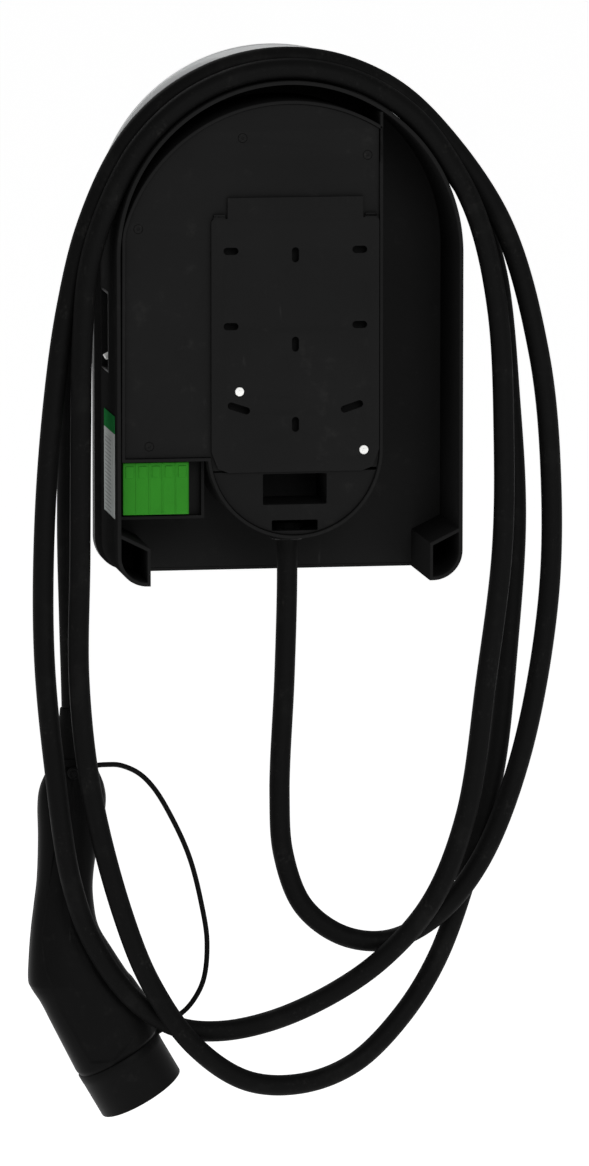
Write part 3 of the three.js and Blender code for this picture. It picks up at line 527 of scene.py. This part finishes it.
# ---------------------------------------------------------------- deck
# Lid of the tray, screwed down at four places. Two hooks on its rear hang behind the bracket's
# shoulders, and wells behind the bracket's slots clear the heads of the wall screws.
steel, shader, place = new_material("zinc plated steel")
turned = place.stretched(900.0, 900.0, 900.0).noise(1.0, 2.0)
stained = place.noise(260.0, 4.0, 0.7).above(0.5, 0.72)
set_inputs(
    shader, place, turned, 0.12, 0.0001, Metallic=1.0, Roughness=turned * 0.12 + 0.26 + stained * 0.12,
    Base_Color=(stained * 0.5).mix((0.56, 0.56, 0.55, 1), (0.36, 0.345, 0.31, 1)),
)
black_steel, shader, place = new_material("blackened steel")
worn = place.noise(420.0, 4.0, 0.7).above(0.52, 0.72)
set_inputs(
    shader, place, worn, 0.15, 0.0001, Roughness=worn * 0.1 + 0.5, Specular_IOR_Level=0.03,
    Base_Color=(worn * 0.4).mix((0.008, 0.008, 0.008, 1), (0.03, 0.029, 0.027, 1)),
)
DECK_SCREWS = [(0.12, 0.082), (0.112, -0.084), (-0.056, 0.136), (0.04, 0.15)]
DECK_END = -0.1046
deck_outline = [(x, z) for x, z in tray_outline(0.0028) if x >= 0.0705 or z >= DECK_END]
sinks = [arc(x, z, 0.0036, 0, 352, 44) for x, z in DECK_SCREWS]
WELL_RADIUS, TUB_RADIUS = 0.005, 0.0065
wells = [slot_outline(*slot, WELL_RADIUS) for slot in SLOTS]
deck_skin = slab([deck_outline, *sinks, *wells], -0.0044, -0.0034, 0.0003)
deck_back = slab([deck_outline, *wells], -0.0064, -0.0043, 0.0002)
tubs = []
for slot, well in zip(SLOTS, wells):
    tub_outline = slot_outline(*slot, TUB_RADIUS)
    tubs.append(slab([tub_outline, well], -0.0104, -0.0044, 0.0002))
    tubs.append(slab([tub_outline], -0.0119, -0.0104, 0.0002))
HOOK_X, HOOK_HALF, HOOK_TOP = 0.05835, 0.0045, 0.0923
hooks = []
for side in (-1, 1):
    x0, x1 = side * HOOK_X - HOOK_HALF, side * HOOK_X + HOOK_HALF
    hooks.append(slab([rectangle(x0, x1, 0.0893, HOOK_TOP, 0.0008)], -0.0044, -0.0002, 0.0003))
    hooks.append(slab([rectangle(x0, x1, 0.084, HOOK_TOP, 0.0008)], -0.0014, -0.0002, 0.0003))
deck = joined("deck_panel", [deck_skin, deck_back, *tubs, *hooks])
fit(deck, black, "unit", "deck")
for k, (x, z) in enumerate(DECK_SCREWS):
    head = slab([arc(x, z, 0.0033, 0, 352, 44), arc(x, z, 0.0011, 0, 300, 5)], -0.0042, -0.0035, 0.0003)
    shank = slab([arc(x, z, 0.0015, 0, 345, 23)], -0.0132, -0.004, 0.0002)
    screw = joined(f"deck_screw_piece_{k + 1}", [head, shank])
    fit(screw, black_steel, "unit", f"deck_screw_{k + 1}")

# ---------------------------------------------------------------- lower cover
# Half-round cover below the deck, with a deep service pocket and a slot above the cable's gland.
COVER_RADIUS = 0.0648
top = DECK_END - 0.0003
rise = math.degrees(math.asin((top - ROUND_Z) / COVER_RADIUS))
cover_outline = arc(0.0, ROUND_Z, COVER_RADIUS, 180 - rise, 360 + rise, 72)
POCKET = rectangle(-0.0245, 0.0245, -0.1303, -0.1068, 0.001)
notch = rectangle(-0.0176, 0.0176, -0.1505, -0.1425, 0.001)
cover_skin = slab([cover_outline, POCKET, notch], -0.0064, -0.0034, 0.0005)
TUB_FRONT = -0.0554
tub = slab([rectangle(-0.0265, 0.0265, -0.1323, -0.105, 0.0018), POCKET], TUB_FRONT, -0.0044, 0.0003)
tub_floor = slab([rectangle(-0.026, 0.026, -0.1318, -0.1054, 0.001)], TUB_FRONT, -0.0534, 0.0003)
lower = joined("lower_cover_panel", [cover_skin, tub, tub_floor])
fit(lower, black_fine, "unit", "lower_cover")

# ---------------------------------------------------------------- front
# The cover overhangs the housing. A frosted band round its arch shines the charging state out, a
# gloss lens lies on its face and a seal closes the joint.
gloss_material, shader, place = new_material("gloss lens")
haze = place.noise(30.0, 4.0)
smear = place.stretched(18.0, 60.0, 60.0).noise(1.0, 4.0, 0.65).above(0.55, 0.75)
set_inputs(
    shader, place, haze, 0.02, 0.0002, Roughness=haze * 0.05 + 0.07 + smear * 0.1, Coat_Weight=0.6,
    Base_Color=(smear * 0.12).mix((0.009, 0.009, 0.01, 1), (0.05, 0.05, 0.05, 1)),
)
FRONT_RADIUS, FRONT_CORNER = 0.1382, 0.026
BAND_Z = 0.0762  # centre of the band's arch
COVER_Z = BAND_Z - 0.0035  # centre of the cover's arch
COVER_REAR = -0.0956


def front_outline(radius, corner, base):
    """The cover's or the lens's outline: an arch above, two round corners below."""
    return [
        *arc(ARCH_X, COVER_Z, radius, 0, 180, 120),
        *arc(ARCH_X - radius + corner, base + corner, corner, 180, 270, 16),
        *arc(ARCH_X + radius - corner, base + corner, corner, 270, 360, 16),
    ]


def band_arc(radius, first, last, count=110):
    return arc(ARCH_X, BAND_Z, radius, first, last, count)


BAND = [*band_arc(FRONT_RADIUS, 12, 168), *band_arc(FRONT_RADIUS - 0.012, 168, 12)]
CORE = [
    *band_arc(FRONT_RADIUS - 0.0123, 12, 168), *band_arc(FRONT_RADIUS, 168.2, 180, 8),
    *arc(ARCH_X - FRONT_RADIUS + FRONT_CORNER, BASE + FRONT_CORNER, FRONT_CORNER, 180, 270, 16),
    *arc(ARCH_X + FRONT_RADIUS - FRONT_CORNER, BASE + FRONT_CORNER, FRONT_CORNER, 270, 360, 16),
    *band_arc(FRONT_RADIUS, 0, 11.8, 8),
]
REAR_HOLLOW = [
    *arc(ARCH_X, ARCH_Z, 0.1183, 0, 180, 90), *arc(-0.0948, -0.156, 0.02, 180, 270, 10),
    *arc(0.1018, -0.156, 0.02, 270, 360, 10),
]
face = slab([front_outline(FRONT_RADIUS, FRONT_CORNER, BASE)], -0.1094, -0.1023, 0.0009)
back = slab([CORE, REAR_HOLLOW], -0.1035, COVER_REAR, 0.0006)
cover = joined("front_moulding", [face, back])
fit(cover, black_fine, "unit", "front_cover")

LENS_INSET = 0.003
lens_outline = front_outline(FRONT_RADIUS - LENS_INSET, FRONT_CORNER - LENS_INSET, BASE + LENS_INSET)
sheet = slab([lens_outline], -0.112, -0.1097, 0.0008)
lens_piece = joined("front_lens_sheet", [sheet])
fit(lens_piece, gloss_material, "unit", "front_lens")

frost_material, shader, place = new_material("frosted band")
etch = place.noise(700.0, 3.0)
swirl = place.noise(14.0, 3.0)
set_inputs(
    shader, place, etch, 0.25, 0.0002, Roughness=etch * 0.15 + 0.28,
    Base_Color=swirl.mix((0.48, 0.49, 0.495, 1), (0.6, 0.61, 0.61, 1)), Coat_Weight=0.25,
)
band = joined("light_band_moulding", [slab([BAND], -0.102, COVER_REAR, 0.0007)])
fit(band, frost_material, "unit", "light_band")
seal_rubber = rubber("seal rubber", 0.012, 0.7)
shown("front_seal", seal_rubber)

# ---------------------------------------------------------------- breaker in the side recess
# Grey breaker with a white lever and a test button, in a bezel pushed into the side wall.
grey = nylon("grey moulding", (0.15, 0.158, 0.165), 0.42)
bezel_ring = slab([rectangle(0.1223, 0.1368, -0.0327, 0.0297, 0.0004)], -0.0917, -0.0503, 0.0003)
bezel_ring = cut(bezel_ring, (0.1238, -0.0899, -0.0309), (0.15, -0.0521, 0.0279))
bezel = joined("breaker_bezel_tub", [bezel_ring])
fit(bezel, black_fine, "unit", "breaker_bezel")
shown("breaker_body", grey)
PIN_X, PIN_Z = 0.1276, -0.02
LEVER_Y = (-0.0885, -0.0795)
lean = math.radians(-28)
lever_outline = [
    (PIN_X + u * math.cos(lean) - w * math.sin(lean), PIN_Z + u * math.sin(lean) + w * math.cos(lean))
    for u, w in rectangle(0.0006, 0.0086, -0.002, 0.002, 0.0009)
]
hub = slab([arc(PIN_X, PIN_Z, 0.0029, 0, 352, 44)], *LEVER_Y, 0.0004)
lever = slab([lever_outline], *LEVER_Y, 0.0007)
toggle = joined("breaker_lever_moulding", [hub, lever])
fit(toggle, white, "breaker_lever", "breaker_toggle")
button_grey = nylon("grey button", (0.2, 0.205, 0.21), 0.36)
key_block = slab([rectangle(0.127, 0.1315, 0.0104, 0.0176, 0.0004)], -0.0876, -0.0804, 0.0007)
key = joined("test_button_key", [key_block])
fit(key, button_grey, "button", "test_button")

# ---------------------------------------------------------------- electronics
# Boards, contactor, power supply and relay in the tray, with the looms between them. They lie
# under the deck and keep their plain outer shape.
board_material, shader, place = new_material("circuit board")
tracks = place.stretched(260.0, 260.0, 60.0).noise(1.0, 1.0).above(0.5, 0.53)
weave = place.noise(900.0, 2.0)
set_inputs(
    shader, place, tracks * 0.8 + weave * 0.3, 0.3, 0.0001, Roughness=weave * 0.12 + 0.26, Coat_Weight=0.3,
    Base_Color=(tracks * 0.5).mix((0.008, 0.075, 0.027, 1), (0.02, 0.15, 0.05, 1)),
)
for name in ("main_board", "led_board", "reader_board"):
    shown(name, board_material)
for name in ("contactor", "power_supply", "earth_fault_relay"):
    shown(name, grey)
for k in range(4):
    shown(f"standoff_{k + 1}", steel)
shown("contactor_plunger", black_fine)
shown("leakage_sensor", black_fine)
loom_rubber = rubber("loom sleeve", 0.014, 0.62)
for name in ("output_loom", "supply_loom", "supply_grommet"):
    shown(name, loom_rubber)

# ---------------------------------------------------------------- supply terminals
# Green pluggable terminal block in a shallow tray beside the half-round cover.
shown("terminal_tray", black_fine)
green = nylon("green terminal moulding", (0.022, 0.185, 0.012), 0.38)
BLOCK_X0, BLOCK_X1, POLES = 0.081, 0.1315, 5
pitch = (BLOCK_X1 - BLOCK_X0) / POLES
body_mesh = slab([rectangle(BLOCK_X0, BLOCK_X1, -0.1368, -0.0969, 0.0006)], -0.0216, -0.008, 0.0005)
keys = []
for k in range(POLES):
    x = BLOCK_X0 + pitch * (k + 0.5)
    body_mesh = cut(body_mesh, (x - 0.0034, -0.0186, -0.14), (x + 0.0034, -0.0116, -0.1248))
    key_outline = rectangle(x - 0.0031, x + 0.0031, -0.1085, -0.0995, 0.0006)
    keys.append(slab([key_outline], -0.0085, -0.0074, 0.0004))
ribs = []
for k in range(POLES + 1):
    x = BLOCK_X0 + pitch * k
    left, right = max(x - 0.0005, BLOCK_X0 + 0.0001), min(x + 0.0005, BLOCK_X1 - 0.0001)
    ribs.append(slab([rectangle(left, right, -0.1362, -0.0975, 0.0002)], -0.0085, -0.0076, 0.0002))
stem = slab([rectangle(0.085, 0.1276, -0.133, -0.1006, 0.0006)], -0.058, -0.0206, 0.0005)
terminals = joined("terminal_block_moulding", [body_mesh, *ribs, *keys, stem])
fit(terminals, green, "unit", "terminal_block")

# ---------------------------------------------------------------- rating label
# Film label on the side wall: a green band above a grey field with plain grey bars where the
# printing would be.
label_material, shader, place = new_material("label film")
height = place.axis(2)
depth = place.axis(1)
top_band = height.above(-0.0752, -0.0748)
bars = (height * 330.0).math("FRACT").above(0.55, 0.62)
column = depth.above(-0.066, -0.0655) * (1.0 - depth.above(-0.0305, -0.03))
field = bars * column * (1.0 - height.above(-0.08, -0.0795))
paper = place.noise(600.0, 2.0)
stain = place.noise(30.0, 4.0)
ground = stain.mix((0.3, 0.32, 0.31, 1), (0.42, 0.44, 0.43, 1))
printed = (field * 0.6).mix(ground, (0.16, 0.165, 0.165, 1))
set_inputs(
    shader, place, paper, 0.08, 0.0001, Roughness=paper * 0.1 + 0.34,
    Base_Color=top_band.mix(printed, (0.012, 0.12, 0.03, 1)), Specular_IOR_Level=0.0,
)
film = slab([rectangle(0.1371, 0.1376, -0.14, -0.0615, 0.0002)], -0.071, -0.012, 0.0002)
label = joined("rating_label", [film])
fit(label, label_material, "unit", "side_label")

# ---------------------------------------------------------------- cable gland
# Screwed gland that grips the cable where it leaves the unit, with a nut on the inside.


def revolved(profile, count=72, closed=False):
    """A mesh turned about Z from (radius, height) pairs."""
    shape = bmesh.new()
    rows = []
    for radius, level in profile:
        if radius < 1e-6:
            rows.append([shape.verts.new((0.0, 0.0, level))])
        else:
            turns = [math.tau * k / count for k in range(count)]
            ring = [(radius * math.cos(a), radius * math.sin(a), level) for a in turns]
            rows.append([shape.verts.new(point) for point in ring])
    pairs = list(zip(rows, rows[1:])) + ([(rows[-1], rows[0])] if closed else [])
    for first, second in pairs:
        for k in range(count):
            inner = [first[k % len(first)], first[(k + 1) % len(first)]]
            outer = [second[(k + 1) % len(second)], second[k % len(second)]]
            corners = list(dict.fromkeys(inner + outer))
            if len(corners) > 2:
                shape.faces.new(corners)
    bmesh.ops.recalc_face_normals(shape, faces=shape.faces)
    mesh = bpy.data.meshes.new("revolved")
    shape.to_mesh(mesh)
    shape.free()
    return mesh


GLAND_PLACE = Matrix.Translation((0, -0.042, 0))
GLAND_RADIUS, GRIP_RIBS = 0.0126, 12
gland_profile = [
    (0.0084, -0.1616), (0.0118, -0.1616), (GLAND_RADIUS, -0.1608), (GLAND_RADIUS, -0.1576),
    (0.012, -0.157), (0.0101, -0.157), (0.01, -0.1477), (0.0084, -0.1477),
]
gland_mesh = revolved(gland_profile, closed=True)
gland_mesh.transform(GLAND_PLACE)
grips = []
for k in range(GRIP_RIBS):
    rib = slab([rectangle(-0.001, 0.001, -0.1612, -0.1574, 0.0004)], -0.0006, 0.0006, 0.0002)
    rib.transform(Matrix.Translation((0, GLAND_RADIUS, 0)))
    rib.transform(GLAND_PLACE @ Matrix.Rotation(math.tau * k / GRIP_RIBS, 4, "Z"))
    grips.append(rib)
gland = joined("gland_shell", [gland_mesh, *grips])
fit(gland, black_fine, "unit", "gland_body")
shown("gland_nut", black_fine)

# ---------------------------------------------------------------- bend relief
# Soft tapered sleeve on the cable above the plug, with a collar where the handle grips it.
PLUG_Y = -0.058  # middle plane of the plug
boot_profile = [
    (0.0078, 0.0222), (0.009, 0.0222), (0.0094, 0.0216), (0.0098, 0.016), (0.0116, 0.006),
    (0.0133, -0.004), (0.0142, -0.012), (0.0146, -0.0145), (0.0142, -0.015), (0.0142, -0.0158),
    (0.0155, -0.0164), (0.0155, -0.0214), (0.0148, -0.0221), (0.0078, -0.0221),
]
boot_mesh = revolved(boot_profile, closed=True)
boot_mesh.transform(Matrix.Translation((0.1648, PLUG_Y, -0.3138)))
boot = joined("bend_relief", [boot_mesh])
boot_rubber = rubber("boot rubber", 0.0045, 0.6)
fit(boot, boot_rubber, "unit", "cable_boot")

# ---------------------------------------------------------------- plug handle
# Two moulded half shells that meet in the plug's middle plane: a wide shoulder below the cable, a
# narrow grip, then an elbow that turns the nose down and to -X. The sides carry a sunk panel.
SECTIONS = [
    # x, z, lean in degrees, half width, half depth
    (0.1646, -0.3363, 0, 0.0175, 0.015), (0.165, -0.352, 0, 0.0245, 0.018),
    (0.1656, -0.368, -2, 0.0262, 0.0195), (0.1686, -0.396, -5, 0.023, 0.019),
    (0.171, -0.425, -3, 0.0216, 0.019), (0.1718, -0.446, -1, 0.0233, 0.02),
    (0.171, -0.4622, -1, 0.0261, 0.0215), (0.1671, -0.4808, 3, 0.0318, 0.025),
    (0.1615, -0.5005, 4, 0.0382, 0.0285), (0.1579, -0.507, 5, 0.0396, 0.0295),
    (0.1516, -0.5166, 8, 0.0388, 0.0305), (0.1458, -0.5268, 12, 0.0386, 0.0315),
    (0.1384, -0.5444, 20.4, 0.0363, 0.0327), (0.131, -0.562, 30, 0.0348, 0.0335),
]
# corners of the sunk panel, and the two ends of the raised rib
PANEL = [
    (0.1804, -0.3916), (0.1921, -0.4684), (0.1898, -0.4932), (0.1764, -0.5254), (0.1549, -0.5651),
    (0.1371, -0.5632), (0.1223, -0.5466), (0.1438, -0.5132), (0.1702, -0.4583), (0.1742, -0.4148),
]
RIB = [(0.1674, -0.3338), (0.165, -0.3718)]


def to_line(point, ends):
    """Distance from a point to a line segment, in x and z."""
    (ax, az), (bx, bz) = ends
    length = (bx - ax) ** 2 + (bz - az) ** 2
    t = max(0.0, min(1.0, ((point[0] - ax) * (bx - ax) + (point[1] - az) * (bz - az)) / length))
    return math.hypot(point[0] - ax - t * (bx - ax), point[1] - az - t * (bz - az))


def inside(point, outline):
    """Whether a point lies in an outline, in x and z."""
    hit = False
    for (ax, az), (bx, bz) in zip(outline, outline[1:] + outline[:1]):
        if (az > point[1]) != (bz > point[1]):
            if point[0] < ax + (point[1] - az) / (bz - az) * (bx - ax):
                hit = not hit
    return hit


def eased(t):
    """0 to 1, with soft ends."""
    t = max(0.0, min(1.0, t))
    return t * t * (3 - 2 * t)


def spline_rows(rows, steps):
    """The rows of numbers, with more rows between them on a smooth curve."""
    ends = [rows[0], *rows, rows[-1]]
    dense = []
    for a, b, c, d in zip(ends, ends[1:], ends[2:], ends[3:]):
        for k in range(steps):
            t = k / steps
            weights = (2 * t**2 - t**3 - t, 2 - 5 * t**2 + 3 * t**3, t + 4 * t**2 - 3 * t**3, t**3 - t**2)
            dense.append([
                0.5 * sum(weight * value for weight, value in zip(weights, values))
                for values in zip(a, b, c, d)
            ])
    dense.append(list(rows[-1]))
    return dense


PANEL_DEPTH, RIB_HEIGHT = 0.0011, 0.0009
SQUARENESS = 2 / 2.4  # below 1, the section is squarer than an ellipse


def shell_half(side):
    """One half of the handle as a closed body; side is +1 towards the wall."""
    rows = spline_rows(SECTIONS, 22)
    count = 72
    shape = bmesh.new()
    grid = []
    for index, (x, z, lean, wide, deep) in enumerate(rows):
        tilt = math.radians(lean)
        end = min(index, len(rows) - 1 - index)
        # the ends are rounded off, the upper one more than the lower
        amount, reach = (0.0009, 5) if index > len(rows) // 2 else (0.0025, 8)
        shrink = amount * (1 - eased(end / reach))
        ring = []
        for k in range(count + 1):
            angle = math.pi * k / count
            c, s = math.cos(angle), math.sin(angle)
            across = (wide - shrink) * math.copysign(abs(c) ** SQUARENESS, c)
            depth = (deep - shrink) * abs(s) ** SQUARENESS
            point = (x + across * math.cos(tilt), z - across * math.sin(tilt))
            if inside(point, PANEL):
                from_edge = min(to_line(point, e) for e in zip(PANEL, PANEL[1:] + PANEL[:1]))
                depth -= PANEL_DEPTH * eased(from_edge / 0.0012)
            if s > 0.3:
                depth += RIB_HEIGHT * (1 - eased(to_line(point, RIB) / 0.0016))
            # the edge along the joint is a little rounded
            lip = 0.0005 * (1 - eased(depth / 0.0012))
            scale = 1 - lip / max(wide, 0.001)
            px, pz = x + across * scale * math.cos(tilt), z - across * scale * math.sin(tilt)
            ring.append(shape.verts.new((px, PLUG_Y + side * max(depth, 0.00015), pz)))
        grid.append(ring)
    for first, second in zip(grid, grid[1:]):
        for k in range(count):
            shape.faces.new((first[k], first[k + 1], second[k + 1], second[k]))
        shape.faces.new((first[0], second[0], second[count], first[count]))
    for ring in (grid[0], grid[-1]):
        shape.faces.new(ring)
    bmesh.ops.recalc_face_normals(shape, faces=shape.faces)
    mesh = bpy.data.meshes.new("half")
    shape.to_mesh(mesh)
    shape.free()
    return mesh


handle_black = moulding("handle moulding", 0.0045, 0.44, 1900.0, 0.22)
rear_half = joined("handle_half_rear", [shell_half(1)], 55.0)
fit(rear_half, handle_black, "unit", "handle_rear_shell")
front_half = joined("handle_half_front", [shell_half(-1)], 55.0)
fit(front_half, handle_black, "unit", "handle_front_shell")

anchor_mesh = revolved([
    (0.0, 0.0025), (0.0018, 0.0025), (0.0022, 0.0019), (0.0034, 0.0019), (0.004, 0.0024),
    (0.0045, 0.0019), (0.0045, -0.0022), (0.0042, -0.0025), (0.0, -0.0025),
], 64)
anchor_place = Matrix.Translation((0.1666, -0.0375, -0.3395))
anchor_mesh.transform(anchor_place @ Matrix.Rotation(-math.pi / 2, 4, "X"))
anchor = joined("tether_button", [anchor_mesh])
fit(anchor, black_fine, "unit", "tether_anchor")

# ---------------------------------------------------------------- plug nose
# Collar, contact carrier and silvered sleeves that the protective cap hides. They stay plain, as
# they are only seen once the cap is pulled off.
silver_material, shader, place = new_material("silvered contact")
rub = place.stretched(700.0, 700.0, 90.0).noise(1.0, 2.0)
tarnish = place.noise(300.0, 4.0, 0.7).above(0.52, 0.72)
set_inputs(
    shader, place, rub, 0.12, 0.0001, Metallic=1.0, Roughness=rub * 0.1 + 0.2 + tarnish * 0.15,
    Base_Color=(tarnish * 0.5).mix((0.68, 0.67, 0.64, 1), (0.4, 0.37, 0.32, 1)),
)
shown("nose_collar", black_fine)
shown("contact_carrier", black_fine)
CONTACTS = ("pilot", "proximity", "line_1", "earth", "neutral", "line_2", "line_3")
for name in CONTACTS:
    shown(f"contact_{name}", silver_material)

# ---------------------------------------------------------------- protective cap
# Round moulded cap over the nose, with a bead at its rim, a stepped end and a lug for the tether.
cap_profile = [
    (0.0, -0.0386), (0.0275, -0.0386), (0.028, -0.0382), (0.0284, -0.0382), (0.0289, -0.0386),
    (0.0336, -0.0386), (0.0344, -0.0382), (0.0348, -0.0374), (0.0348, -0.0082), (0.035, -0.0078),
    (0.035, -0.0014), (0.0344, -0.0006), (0.0331, -0.0006), (0.0328, -0.0012), (0.0328, -0.0358),
    (0.0, -0.0358),
]
nose_place = Matrix.Translation((0.131, PLUG_Y, -0.562)) @ Matrix.Rotation(math.radians(30), 4, "Y")
cap_mesh = revolved(cap_profile, 96)
cap_mesh.transform(nose_place)
lug = slab([rectangle(-0.0438, -0.0338, -0.0049, -0.0009, 0.0008)], -0.0038, 0.0038, 0.0008)
lug.transform(nose_place)
cap = joined("cap_moulding", [cap_mesh, lug])
fit(cap, handle_black, "cap", "protective_cap")

# ---------------------------------------------------------------- cap tether
# Thin rubber cord from the button on the handle to the cap's lug, so that the cap isn't lost.
TETHER = [
    (0.1615, -0.0365, -0.3375), (0.15, -0.04, -0.3345), (0.139, -0.046, -0.3348),
    (0.1282, -0.052, -0.3366), (0.1133, -0.057, -0.344), (0.1017, PLUG_Y, -0.3558),
    (0.0878, PLUG_Y, -0.3792), (0.074, PLUG_Y, -0.4105), (0.0648, PLUG_Y, -0.4465),
    (0.0602, PLUG_Y, -0.478), (0.0635, PLUG_Y, -0.509), (0.074, PLUG_Y, -0.5275),
    (0.0845, PLUG_Y, -0.5365), (0.0909, PLUG_Y, -0.5406),
]
tether_line = through(TETHER, 0.003)
TETHER_LENGTH = sum((b - a).length for a, b in zip(tether_line, tether_line[1:]))
strand = tube("tether_curve", tether_line, 0.002)
graph = bpy.context.evaluated_depsgraph_get()
tether_mesh = bpy.data.meshes.new_from_object(strand.evaluated_get(graph))
bpy.data.objects.remove(strand)
tether = joined("tether", [tether_mesh])
tether.data.materials.clear()
tether.data.materials.append(boot_rubber)
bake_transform(tether)
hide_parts("cap_tether")

with_plug = [boot, rear_half, front_half, anchor, cap, "nose_collar", "contact_carrier"]
with_plug += [f"contact_{name}" for name in CONTACTS]

# ---------------------------------------------------------------- stage
# Pale floor well below the object and soft light from all round, strongest from above and behind.
floor_mesh = bpy.data.meshes.new("floor")
FLOOR_Z, FLOOR_HALF = -0.95, 30
floor_corners = [(x * FLOOR_HALF, y * FLOOR_HALF, FLOOR_Z) for x, y in ((-1, -1), (1, -1), (1, 1), (-1, 1))]
floor_mesh.from_pydata(floor_corners, [], [(0, 1, 2, 3)])
floor = bpy.data.objects.new("floor", floor_mesh)
scene.collection.objects.link(floor)
floor_material, shader, place = new_material("pale floor")
set_inputs(shader, place, Base_Color=(0.93, 0.93, 0.93, 1), Roughness=0.9, Specular_IOR_Level=0.1,
           Emission_Color=(1, 1, 1, 1), Emission_Strength=0.64)
floor.data.materials.append(floor_material)

world = bpy.data.worlds.new("studio")
scene.world = world
world.use_nodes = True
sky = world.node_tree.nodes["Background"]
sky.inputs["Color"].default_value = (1.0, 1.0, 1.0, 1.0)
sky.inputs["Strength"].default_value = 0.38


def soft_box(name, place, aim, size, power):
    """A soft area light that points at a place on the object."""
    light = bpy.data.lights.new(name, "AREA")
    light.shape = "RECTANGLE"
    light.size, light.size_y = size
    light.energy = power
    lamp = bpy.data.objects.new(name, light)
    scene.collection.objects.link(lamp)
    lamp.location = place
    lamp.rotation_euler = (Vector(aim) - Vector(place)).to_track_quat("-Z", "Y").to_euler()


soft_box("key", (-0.2, 3.3, 1.3), (0, 0, -0.15), (1.6, 1.6), 42.0)
soft_box("fill", (-1.4, 2.6, 0.2), (0, 0, -0.2), (1.4, 2.0), 8.0)
soft_box("front", (0.8, -2.4, 1.6), (0, 0, -0.2), (1.6, 1.6), 16.0)
scene.view_settings.view_transform = "Standard"
scene.view_settings.look = "None"
